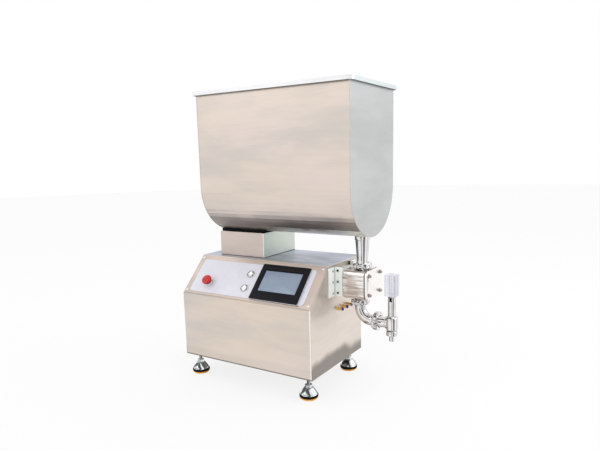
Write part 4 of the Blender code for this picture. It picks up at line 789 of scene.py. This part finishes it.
def make_plate_screws():
    """Low round heads over the control plate's own screws."""
    low, high = slope_span("control_plate")
    inward = 0.012
    places = [(u, v) for v in (low.y + inward, high.y - inward) for u in (low.x + inward, high.x - inward)]
    for k, (u, v) in enumerate(places):
        bm = bmesh.new()
        add_pan_screw(bm, 0.0046, 0.0032, SLOPE @ shift(u, v, high.z - 0.0019))
        finish_mesh(f"plate_screw_{k}", bm, COVER_STEEL)


def make_stop_button():
    """Emergency stop: mushroom head with turning marks, shank and collar."""
    place = slope_place("estop_head")
    low, high = slope_span("estop_head")
    radius = (high.x - low.x) / 2
    base, top = low.z, high.z
    rim = base + 0.0096
    profile = softened([(0.0, base), (radius * 0.62, base), (radius * 0.74, base + 0.0012),
                        (radius * 0.985, base + 0.0036), (radius, base + 0.0048), (radius, rim)], 0.0005)
    profile += [(radius * (0.62 + 0.38 * cosine), rim + (top - base - 0.01) * sine)
                for cosine, sine in quarter(12)]
    profile += [(radius * 0.52, top - 0.0002), (radius * 0.45, top - 0.0008), (0.0, top - 0.001)]
    bm = bmesh.new()
    add_turned(bm, profile)
    for k in range(3):                      # raised turning marks on the crown
        angles = [math.radians(120 * k + 12) + math.radians(a) for a in range(0, 73, 8)]
        inner, outer = ([(radius * size * math.cos(a), radius * size * math.sin(a)) for a in angles]
                        for size in (0.3, 0.38))
        add_prism(bm, outer + inner[::-1], top - 0.0012, top - 0.0003)
    finish_mesh("stop_mushroom", bm, RED, ("estop_head",), place, "stop_knob")

    low, high = slope_span("estop_stem")
    size = (high.x - low.x) / 2
    make_turned("stop_shank", softened([(0.0, low.z), (size, low.z), (size, high.z), (0.0, high.z)]), BLACK,
                ("estop_stem",), place, "stop_plunger", 40)

    low, high = slope_span("estop_collar")
    size = (high.x - low.x) / 2
    bore = 0.0067
    make_turned("stop_collar", softened([
        (bore, low.z), (THREAD, low.z), (THREAD, FACE), (size, FACE), (size, FACE + 0.003),
        (size - 0.001, FACE + 0.0036), (size - 0.001, FACE + 0.0045), (size - 0.0022, high.z),
        (bore, high.z), (bore, low.z)], 0.0003), ZINC, ("estop_collar",), place)


def make_push_button(which):
    """Ring with a rolled lip and a dished cap that moves in it."""
    ring, cap = "button_ring_" + which, "button_cap_" + which
    place = slope_place(ring)
    low, high = slope_span(ring)
    size = (high.x - low.x) / 2
    bore = 0.0095
    make_turned("button_bezel_" + which, softened([
        (bore, low.z), (THREAD, low.z), (THREAD, FACE), (size, FACE), (size, high.z - 0.0016),
        (size - 0.0006, high.z - 0.0008), (size - 0.0022, high.z), (bore + 0.0016, high.z - 0.0002),
        (bore + 0.0004, high.z - 0.0014), (bore, high.z - 0.002), (bore, low.z)], 0.0003),
        CHROME, (ring,), place)
    low, high = slope_span(cap)
    size = (high.x - low.x) / 2
    make_turned("button_face_" + which, softened([
        (0.0, low.z), (size, low.z), (size, high.z - 0.0012), (size - 0.0008, high.z - 0.0002),
        (size * 0.8, high.z), (size * 0.72, high.z - 0.0006), (0.0, high.z - 0.0012)], 0.0003),
        COVER_STEEL, (cap,), place, which + "_button")


make_screen()
make_plate_screws()
make_stop_button()
make_push_button("upper")
make_push_button("lower")


# ---------------------------------------------------------------- pump and pipework

def ferrule(face, side):
    """Outer profile from the tube to the sealing face at one side of a joint."""
    start = face + side * HALF_GASKET
    return [(TUBE, start + side * 0.0072), (TUBE + 0.0006, start + side * 0.006),
            (TUBE + 0.0022, start + side * 0.0043), (FERRULE - 0.0002, start + side * 0.0017),
            (FERRULE, start + side * 0.0013), (FERRULE, start + side * 0.0002), (FERRULE - 0.0003, start)]


def piped(face, side, start, outside=()):
    """Closed profile of a pipe's end: from the bore at start, over the outside, to the joint at face."""
    return [(BORE, start), *outside, *ferrule(face, side), (BORE, face + side * HALF_GASKET), (BORE, start)]


def make_outlet():
    """Hopper outlet: wide stub, rounded shoulder, tube and ferrule, all one drawn wall."""
    low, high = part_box("hopper_outlet")
    wide = (high.x - low.x) / 2
    place = shift(PORT_X, PORT_Y, 0)
    top = high.z
    shoulder = top - 0.014
    foot = shoulder - 0.064
    make_turned("hopper_drain", [
        (BORE, INLET_Z + HALF_GASKET), *ferrule(INLET_Z, 1)[::-1], (TUBE, foot - 0.002),
        (TUBE + 0.0002, foot + 0.001), (wide - 0.0017, shoulder - 0.0018), (wide - 0.0014, shoulder - 0.001),
        (wide - 0.0004, shoulder - 0.0004), (wide, shoulder + 0.0004), (wide, top - 0.0004),
        (wide - 0.0004, top), (wide - 0.003, top), (wide - 0.003, shoulder - 0.0015), (BORE, foot),
        (BORE, INLET_Z + HALF_GASKET)],
        POLISHED, ("hopper_outlet",), place)
    make_turned("hopper_drain_weld", weld_bead(wide, top - 0.0012, 0.0013, 0.0012), WELD,
                (), place)


def make_clamp(name, place):
    """Two jaws with a V groove, a pinned hinge, a swing bolt and its thread, and the gasket inside."""
    edge = 0.0095
    outer = 0.0325
    inner = 0.0217
    groove = 0.0032
    jaw = softened([(inner, -edge), (outer - 0.0022, -edge), (outer, -edge + 0.003), (outer, edge - 0.003),
                    (outer - 0.0022, edge), (inner, edge), (inner, groove + 0.0027), (0.0258, groove),
                    (0.0258, -groove), (inner, -groove - 0.0027), (inner, -edge)], 0.0007)[:-1]
    half = math.radians(86)
    bm = bmesh.new()
    for start in (-half, math.pi - half):
        add_sector(bm, jaw, start, start + 2 * half, 36, place)
    lift = 0.0055
    for x0, x1 in ((-0.007, -0.0023), (0.0023, 0.007)):
        add_block(bm, (x0, -CLAMP_BOLT - lift, -lift), (x1, -0.0285, lift), place)
    add_block(bm, (-0.008, 0.029, -lift), (0.008, 0.0355, lift), place)
    pin = softened(mm((0, -7.5), (2.6, -7.5), (2.6, 7.5), (0, 7.5)), 0.0006)
    add_turned(bm, pin, COARSE, place @ facing(Vector((0, outer, 0)), (0, 0, 1)))
    bolt = mm((0, -12.5), (5, -12.2), (5.7, -11.5), (5.7, -8), (5, -7.5), (3, -7.5), (3, 7))
    reach = 0.007
    while reach < 0.0262:
        bolt += mm((3, 0.3), (2.6, 0.6), base=reach)
        reach += 0.001
    bolt += mm((2.4, 27.8), (0, 28))
    add_turned(bm, bolt, COARSE, place @ facing(Vector((0, -CLAMP_BOLT, 0)), (1, 0, 0)))
    finish_mesh("clamp_ring_" + name, bm, POLISHED, ("clamp_" + name,))
    low, high, half = BORE + 0.0002, FERRULE + 0.0002, HALF_GASKET - 0.0001
    section = [(low, -half), (high, -half), (high, half), (low, half), (low, -half)]
    make_turned("gasket_" + name, section, RUBBER, (), place)


def make_wing_nut(name, place):
    """Cast wing nut: hub, flange and two rounded ears."""
    axis = place @ facing(Vector((0, -CLAMP_BOLT, 0)), (1, 0, 0), (0, 1, 0))
    flat = axis @ Matrix(((1, 0, 0, 0), (0, 0, -1, 0), (0, 1, 0, 0), (0, 0, 0, 1)))
    seat = 0.0073
    root, tip, round_off = 0.0036, 0.0112, 0.0026
    bm = bmesh.new()
    hub = mm((3.3, 0), (6.2, 0), (6.2, 1.2), (5, 3.4), (4.6, 10.5), (3.8, 12.2), (3.3, 12.2), (3.3, 0),
             base=seat)
    add_turned(bm, softened(hub), MEDIUM, axis)
    for side in (1, -1):
        ear = [(side * (tip - round_off + round_off * math.cos(a)), seat + 0.0136 + round_off * math.sin(a))
               for a in (math.pi * k / 8 - math.pi / 2 for k in range(9))]
        ear += [(side * root, seat + 0.0108), (side * root, seat + 0.004)]
        add_prism(bm, ear[::side], -0.0013, 0.0013, flat, 0.0005)
    finish_mesh("wing_" + name, bm, CHROME, ("wing_nut_" + name,), None, name + "_wing_nut")


def polar_outline(half_width, half_height, radius, count=144):
    """Rounded rectangle with points at even angles about its middle, each found by halving along its ray."""
    points = []
    for direction in regular(1.0, count):
        direction = Vector(direction)
        low, high = 0.0, 0.2
        for _ in range(30):
            reach = (low + high) / 2
            p = direction * reach
            across = max(abs(p.x) - (half_width - radius), 0)
            upward = max(abs(p.y) - (half_height - radius), 0)
            if math.hypot(across, upward) <= radius:
                low = reach
            else:
                high = reach
        points.append(tuple(direction * low))
    return points


def make_pump():
    """Rotor case with its two ports, the machined front cover, its seal and four dome nuts."""
    low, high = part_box("pump_housing")
    cover_low, cover_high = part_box("pump_cover")
    back, joint = low.x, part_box("rotor_drive")[1].x + 0.0005
    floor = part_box("rotor_drive")[0].x - 0.0005
    seal = joint + 0.0024
    front = cover_high.x - 0.011
    middle_z = (cover_low.z + cover_high.z) / 2
    half_height = (cover_high.z - cover_low.z) / 2
    place = shift(0, PORT_Y, middle_z) @ Matrix(
        ((0, 0, 1, 0), (1, 0, 0, 0), (0, 1, 0, 0), (0, 0, 0, 1)))
    outer = polar_outline((high.y - low.y) / 2, half_height, 0.016)
    chamber = polar_outline(0.048, 0.029, 0.029)
    bm = bmesh.new()
    rings = stack(bm, outer, [(0.0014, back), (0.0004, back + 0.0005), (0.0, back + 0.0014),
                              (0.0, joint - 0.0006), (0.0005, joint)])
    join(bm, rings + stack(bm, chamber, [(0.0, joint), (0.0, floor)]))
    for sign, face, port_x in ((1, INLET_Z, PORT_X), (-1, OUTLET_Z, DROP_X)):
        edge = middle_z + sign * half_height
        stub = piped(face, -sign, edge - sign * 0.014, (
            (TUBE + 0.0035, edge - sign * 0.014), (TUBE + 0.0035, edge + sign * 0.0004),
            (TUBE + 0.0012, edge + sign * 0.0016)))
        add_turned(bm, stub, FINE, place.inverted() @ shift(port_x, PORT_Y, 0))
    finish_mesh("pump_case", bm, CASE_STEEL, ("pump_housing",), place)

    make_prism("pump_seal", inset(outer, 0.0012), joint + 0.0001, seal, RUBBER, (), place,
               0.0002)
    make_prism("pump_lid", inset(outer, 0.0003), seal, front, COVER_STEEL, ("pump_cover",),
               place, 0.0022, 4)
    bm = bmesh.new()
    thick = 0.0011
    washer = softened(mm((0, 0), (7.4, 0), (7.4, 1.1), (0, 1.1)), 0.0003)
    for y in (-0.044, 0.044):
        for z in (-0.033, 0.033):
            spot = facing(Vector((front - 0.0003, PORT_Y + y, middle_z + z)), (1, 0, 0))
            add_turned(bm, washer, MEDIUM, spot)
            add_domed_nut(bm, 0.0062, 0.0092, spot @ shift(0, 0, thick))
    finish_mesh("pump_lid_nuts", bm, NUT)


def make_elbow():
    """Outlet elbow: from the pump's port down and round to the valve, with a ferrule at each end."""
    steps = 24
    inside = HALF_GASKET + 0.004            # the pipe ends inside its ferrules
    line = [(DROP_X, OUTLET_Z - inside), (DROP_X, LEVEL_Z + BEND_RADIUS + 0.003)]
    line += [(DROP_X + BEND_RADIUS * (1 - math.cos(angle)), LEVEL_Z + BEND_RADIUS * (1 - math.sin(angle)))
             for angle in (math.pi / 2 * k / steps for k in range(steps + 1))]
    line.append((VALVE_JOINT - inside, LEVEL_Z))
    bm = bmesh.new()
    add_tube(bm, [Vector((x, PORT_Y, z)) for x, z in line], TUBE, FINE, BORE)
    for face, place in ((OUTLET_Z, shift(DROP_X, PORT_Y, 0)), (VALVE_JOINT, LEVEL)):
        add_turned(bm, piped(face, -1, face - 0.0092), FINE, place)
    finish_mesh("elbow_pipe", bm, POLISHED, ("outlet_elbow",))


make_outlet()
make_pump()
make_elbow()
JOINTS = {
    "inlet": shift(PORT_X, PORT_Y, INLET_Z),
    "outlet": shift(DROP_X, PORT_Y, OUTLET_Z),
    "valve": shift(VALVE_JOINT, PORT_Y, LEVEL_Z)
    @ Matrix(((0, 0, -1), (0, 1, 0), (1, 0, 0))).to_4x4(),
}
for name, place in JOINTS.items():
    make_clamp(name, place)
    make_wing_nut(name, place)


# ---------------------------------------------------------------- filling valve

VALVE_AXIS = shift(VALVE_X, PORT_Y, 0)


def make_valve():
    """Valve chamber with its side stub, and the weld between them."""
    low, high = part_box("valve_body")
    radius = high.x - VALVE_X
    foot = LEVEL_Z - 0.026
    top = high.z
    profile = softened([
        (0.0045, top - 0.006), (0.0045, top), (radius - 0.0062, top), (radius - 0.0052, top - 0.0006),
        (radius - 0.0006, top - 0.005), (radius, top - 0.0064), (radius, foot + 0.0064),
        (radius - 0.0006, foot + 0.005), (radius - 0.0052, foot + 0.0006), (radius - 0.0062, foot),
        (0.015, foot), (0.015, low.z), (0.0085, low.z), (0.0085, foot + 0.002), (0.0125, foot + 0.004),
        (0.0125, top - 0.006), (0.0045, top - 0.006)], 0.0006)
    start = VALVE_X - 0.0125
    bm = bmesh.new()
    add_turned(bm, profile, FINE, VALVE_AXIS)
    add_turned(bm, piped(VALVE_JOINT, 1, start, ((TUBE, start),)), FINE, LEVEL)
    finish_mesh("valve_chamber", bm, POLISHED, ("valve_body",))
    make_turned("valve_stub_weld", weld_bead(TUBE + 0.0004, VALVE_X - radius + 0.0012, 0.0012, 0.0016), WELD,
                (), LEVEL)


def make_sleeve():
    """Yoke tube with an open slot in front, through which the stem is seen."""
    low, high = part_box("valve_yoke")
    size = high.x - VALVE_X
    sides = 72
    slot_half = 0.0055
    below_top = (0.0195, 0.0185, 0.0045, 0.0035, 0.0006)
    levels = [(size - 0.0006, low.z), (size, low.z + 0.0006), *((size, high.z - z) for z in below_top),
              (size - 0.0006, high.z)]
    bm = bmesh.new()
    rings = [[bm.verts.new((*p, z)) for p in regular(radius, sides)] for radius, z in levels]
    for lower, upper, (_, z) in zip(rings, rings[1:], levels):
        for k in range(sides):
            angle = 2 * math.pi * (k + 0.5) / sides
            in_slot = abs(size * math.cos(angle)) < slot_half and math.sin(angle) < 0
            if in_slot and high.z - 0.019 < z < high.z - 0.004:
                continue
            bm.faces.new((lower[k], lower[(k + 1) % sides], upper[(k + 1) % sides], upper[k]))
    sleeve = finish_mesh("valve_sleeve", bm, POLISHED, ("valve_yoke",), VALVE_AXIS)
    wall = sleeve.modifiers.new("wall", "SOLIDIFY")
    wall.thickness = 0.0034
    wall.offset = -1


def make_cylinder():
    """Compact air cylinder: square body with a shallow cap joint at each end, screws and bare port plugs."""
    low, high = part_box("valve_cylinder")
    side = high.x - low.x
    cap = 0.013
    ends = [(0.0008, 0.0), (0.0, 0.0008), (0.0, cap - 0.0003), (0.0005, cap), (0.0005, cap + 0.0004),
            (0.0, cap + 0.0007)]
    levels = [(shrink, low.z + rise) for shrink, rise in ends]
    levels += [(shrink, high.z - rise) for shrink, rise in reversed(ends)]
    groove, deep = 0.002, 0.0014
    section = []
    for number in range(4):
        turn = Matrix.Rotation(math.pi / 2 * number, 2)
        for point in ((side / 2, -groove), (side / 2 - deep, -groove * 0.8), (side / 2 - deep, groove * 0.8),
                      (side / 2, groove), *rounded(side, side, 0.0044, 6)[:7]):
            section.append(tuple(turn @ Vector(point)))
    bm = bmesh.new()
    join(bm, stack(bm, section, levels))
    finish_mesh("cylinder_barrel", bm, ALUMINIUM, ("valve_cylinder",), VALVE_AXIS)
    screw = mm((0, 0), (3, 0), (3, 2.1), (2.6, 2.5), (1.6, 2.5), (1.6, 0.8), (0, 0.8))
    plug = mm((0, -2), (4.2, -2), (4.2, 0.6), (3.8, 1), (1.8, 1), (1.8, -0.6), (0, -0.6))
    reach = side / 2 - 0.0062
    bm = bmesh.new()
    for x in (-reach, reach):
        for y in (-reach, reach):
            add_turned(bm, screw, COARSE, VALVE_AXIS @ shift(x, y, high.z - 0.0026))
    for z in (low.z + cap / 2, high.z - cap / 2):
        add_turned(bm, plug, COARSE, facing(Vector((VALVE_X - side / 2 + 0.001, PORT_Y, z)), (-1, 0, 0)))
    finish_mesh("cylinder_screws", bm, DARK_SCREW)


def make_nozzle():
    """Grooved union nut and the plain spout that it holds."""
    low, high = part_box("nozzle_nut")
    radius = (high.x - low.x) / 2
    foot, waist = low.z, radius - 0.0011
    make_turned("nozzle_ring", softened([
        (0.009, foot), (radius - 0.0022, foot), (radius, foot + 0.0022), (radius, foot + 0.0105),
        (waist, foot + 0.0111), (waist, foot + 0.0128), (radius, foot + 0.0134), (radius, high.z - 0.0012),
        (radius - 0.0012, high.z), (0.0154, high.z), (0.0154, foot + 0.005), (0.009, foot + 0.005),
        (0.009, foot)], 0.0004), POLISHED, ("nozzle_nut",), VALVE_AXIS)
    low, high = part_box("nozzle_tip")
    spout = mm((6, 0), (7.9, 0), (8.5, 1), (8.5, 25.3), (15, 25.3), base=low.z)
    spout += mm((15, 0), (8.5, 0), (6, -4.7), base=high.z) + spout[:1]
    make_turned("nozzle_spout", softened(spout, 0.0003), POLISHED, ("nozzle_tip",),
                VALVE_AXIS)


make_valve()
make_sleeve()
make_cylinder()
make_nozzle()


# ---------------------------------------------------------------- brackets, fittings, feet

def make_bracket_screws():
    """Socket screws over the brackets' screw places: dark in the plates, grey in the flanges."""
    pitch = 0.039
    for name, side in (("front", -1), ("rear", 1)):
        centre = middle("bracket_" + name, Z)
        plate = Vector((WALL_X + 0.0165, PORT_Y + side * PLATE_SCREWS, centre))
        flange = Vector((WALL_X + 0.0043, PORT_Y + side * FLANGE_SCREWS, centre))
        for kind, spot, axis, material in (("bracket", plate, (0, side, 0), DARK_SCREW),
                                           ("flange", flange, (1, 0, 0), GREY_SCREW)):
            bm = bmesh.new()
            for z in (-pitch, 0, pitch):
                add_pan_screw(bm, 0.0036, 0.0046, facing(spot + Vector((0, 0, z)), axis), 0.5)
            finish_mesh(f"{kind}_screws_{name}", bm, material)


def make_fitting(name):
    """Push-in fitting: thread, hexagon, brass barrel and blue release collar."""
    node = "air_fitting_" + name
    low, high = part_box(node)
    place = facing(Vector((0, middle(node, Y), middle(node, Z))), (1, 0, 0))
    end = high.x
    hexagon = WALL_X + 0.007
    bm = bmesh.new()
    thread = mm((4, 0), (4.8, 0), base=low.x) + mm((4.8, 0), (4, 0), base=WALL_X)
    add_turned(bm, thread + thread[:1], COARSE, place)
    add_prism(bm, regular((high.z - low.z) / 2, 6), WALL_X + 0.0003, hexagon, place, 0.0006)
    barrel = mm((4.2, 0), (6, 0), base=hexagon) + mm((6, -4.8), (5.5, -4), (4.2, -4), base=end)
    add_turned(bm, softened(barrel + barrel[:1]), MEDIUM, place)
    finish_mesh("fitting_barrel_" + name, bm, BRASS, (node,))
    collar = mm((4, -5.5), (5, -5.5), (5, -3.4), (6.4, -3.2), (6.4, -0.4), (5.8, 0), (4.4, 0), (4, -0.8),
                (4, -5.5), base=end)
    make_turned("fitting_collar_" + name, softened(collar, 0.0003), BLUE, (), place, sides=MEDIUM)


def make_foot(name):
    """Levelling foot: moulded pad, black ring, chromed bell, hexagon and threaded stud."""
    node = "foot_" + name
    body = name + "_foot"
    low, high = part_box(node)
    radius = (high.x - low.x) / 2
    place = shift(middle(node, X), middle(node, Y), low.z)
    inner = radius - 0.0095
    pad = [(0.0, 0.0), (inner, 0.0)]
    pad += [(inner + 0.0085 * sine, 0.007 - 0.007 * cosine) for cosine, sine in quarter(8)]
    pad += [(radius - 0.001, 0.0084), (0.0, 0.0084)]
    make_turned("foot_pad_" + name, pad, ORANGE, (), place, body)
    make_turned("foot_ring_" + name, softened([
        (0.0, 0.008), (radius - 0.0006, 0.008), (radius, 0.009), (radius, 0.016),
        (radius - 0.001, 0.0172), (radius - 0.0034, 0.0178), (0.0, 0.0178)], 0.0004),
        RUBBER, (), place, body)
    skirt, crown = radius - 0.0026, 0.0158
    bell = [(0.0, 0.0165), (radius - 0.003, 0.0165), (radius - 0.0018, 0.0176), (skirt, 0.0186)]
    for k in range(1, 12):
        share = k / 11
        bell.append((skirt + (crown - skirt) * share ** 1.35, 0.0186 + 0.0218 * share))
    bell += mm((14.8, 41), (13, 41.2), (13, 41.8), (0, 41.8))
    bm = bmesh.new()
    add_turned(bm, bell)
    add_prism(bm, regular(0.0134, 6, 0.3), 0.0412, 0.0506, edge=0.0006)
    length = high.z - low.z
    stud = mm((0, 50), (5.6, 50))
    z = 0.0506
    while z < length - 0.002:
        stud += mm((6, 0.45), (5.15, 1.3), base=z)
        z += 0.00175                        # pitch of an M12 thread
    stud += mm((5, -0.6), (4.4, 0), (0, 0), base=length)
    add_turned(bm, stud, MEDIUM)
    finish_mesh("foot_bell_" + name, bm, CHROME, (node,), place, body)


make_bracket_screws()
for name in ("front", "middle", "rear"):
    make_fitting(name)
for name in ("front_left", "front_right", "rear_left", "rear_right"):
    make_foot(name)


# ---------------------------------------------------------------- floor, light and camera

SKY = 0.95              # what diffuse surfaces get; mirrors, glass and the camera see a plain white tent
FLOOR_GLOW = 0.82       # share of the floor that glows white where it is seen directly


def emitter(name, location, target, size, power):
    """Round soft light at location, turned to target."""
    light = bpy.data.lights.new(name, "AREA")
    light.shape = "DISK"
    light.size = size
    light.energy = power
    lamp = new_object(name, light)
    lamp.location = location
    lamp.rotation_mode = "QUATERNION"
    lamp.rotation_quaternion = (Vector(target) - Vector(location)).to_track_quat("-Z", "Y")


def make_floor():
    """Wide pale disc that takes soft shadows and looks nearly white."""
    tree = Tree("floor").set(Base_Color=(0.86, 0.86, 0.86, 1), Roughness=0.9, Specular_IOR_Level=0.1)
    glow = tree.add("Emission", {"Strength": 1.0})[0]
    tree.blend(tree.math("MULTIPLY", tree.seen_directly(), FLOOR_GLOW), glow, "Material Output")
    bm = bmesh.new()
    bmesh.ops.create_circle(bm, cap_ends=True, segments=96, radius=14.0)
    floor = new_mesh("floor", bm, tree.block)
    floor.location = (0, 0, -0.0002)


def make_world():
    """White tent, a little dimmer for diffuse surfaces."""
    tree = Tree("studio", bpy.data.worlds.new("studio")).set(Color=(1, 1, 1, 1), Strength=SKY)
    tent = tree.add("Background", {"Color": (1, 1, 1, 1), "Strength": 1.0})[0]
    tree.blend(tree.seen_directly(), tent, "World Output")
    bpy.context.scene.world = tree.block


def add_flag(azimuth, width, low, high, distance=1.25):
    """Upright dark card beyond the view, seen only in polished metal."""
    turn = math.radians(azimuth)
    outward = Vector((math.sin(turn), -math.cos(turn), 0)) * distance
    side = Vector((math.cos(turn), math.sin(turn), 0)) * width / 2
    foot, head = outward + Vector((0, 0, low)), outward + Vector((0, 0, high))
    bm = bmesh.new()
    bm.faces.new([bm.verts.new(p) for p in (foot - side, foot + side, head + side, head - side)])
    card = new_mesh("flag", bm, FLAG_CLOTH)
    card.visible_camera = card.visible_diffuse = card.visible_shadow = card.visible_transmission = False


def make_camera():
    """Camera of the photo: its place, its direction, a small roll and its lens."""
    azimuth, elevation, roll = math.radians(32.26), math.radians(9.58), math.radians(-1.34)
    back = Vector((math.sin(azimuth) * math.cos(elevation), -math.cos(azimuth) * math.cos(elevation),
                   math.sin(elevation)))
    right = Vector((0, 0, 1)).cross(back).normalized()
    up = back.cross(right)
    turned_right = right * math.cos(roll) + up * math.sin(roll)
    turned_up = up * math.cos(roll) - right * math.sin(roll)
    camera = new_object("camera", bpy.data.cameras.new("camera"))
    place = shift(*(ORIGIN + Vector((1.4311, -1.4365, 0.8048))))
    camera.matrix_world = place @ Matrix((turned_right, turned_up, back)).transposed().to_4x4()
    camera.data.sensor_width = 36
    camera.data.lens = 32.31
    camera.data.shift_y = 0.0417
    camera.data.clip_start, camera.data.clip_end = 0.05, 60
    bpy.context.scene.camera = camera


make_floor()
make_world()
make_camera()
for azimuth, width in ((14, 0.24), (-124, 0.95), (190, 0.7), (66, 0.1)):
    add_flag(azimuth, width, 0.001, 0.43)
emitter("key", (-2.2, -2.6, 2.8), (0, 0, 0.5), 2.4, 14)
emitter("side", (3.0, 1.2, 2.0), (0, 0, 0.5), 2.4, 24)
emitter("top", (0.3, 0.4, 3.4), (0, 0, 0.5), 2.6, 10)
bpy.context.scene.view_settings.view_transform = "Standard"
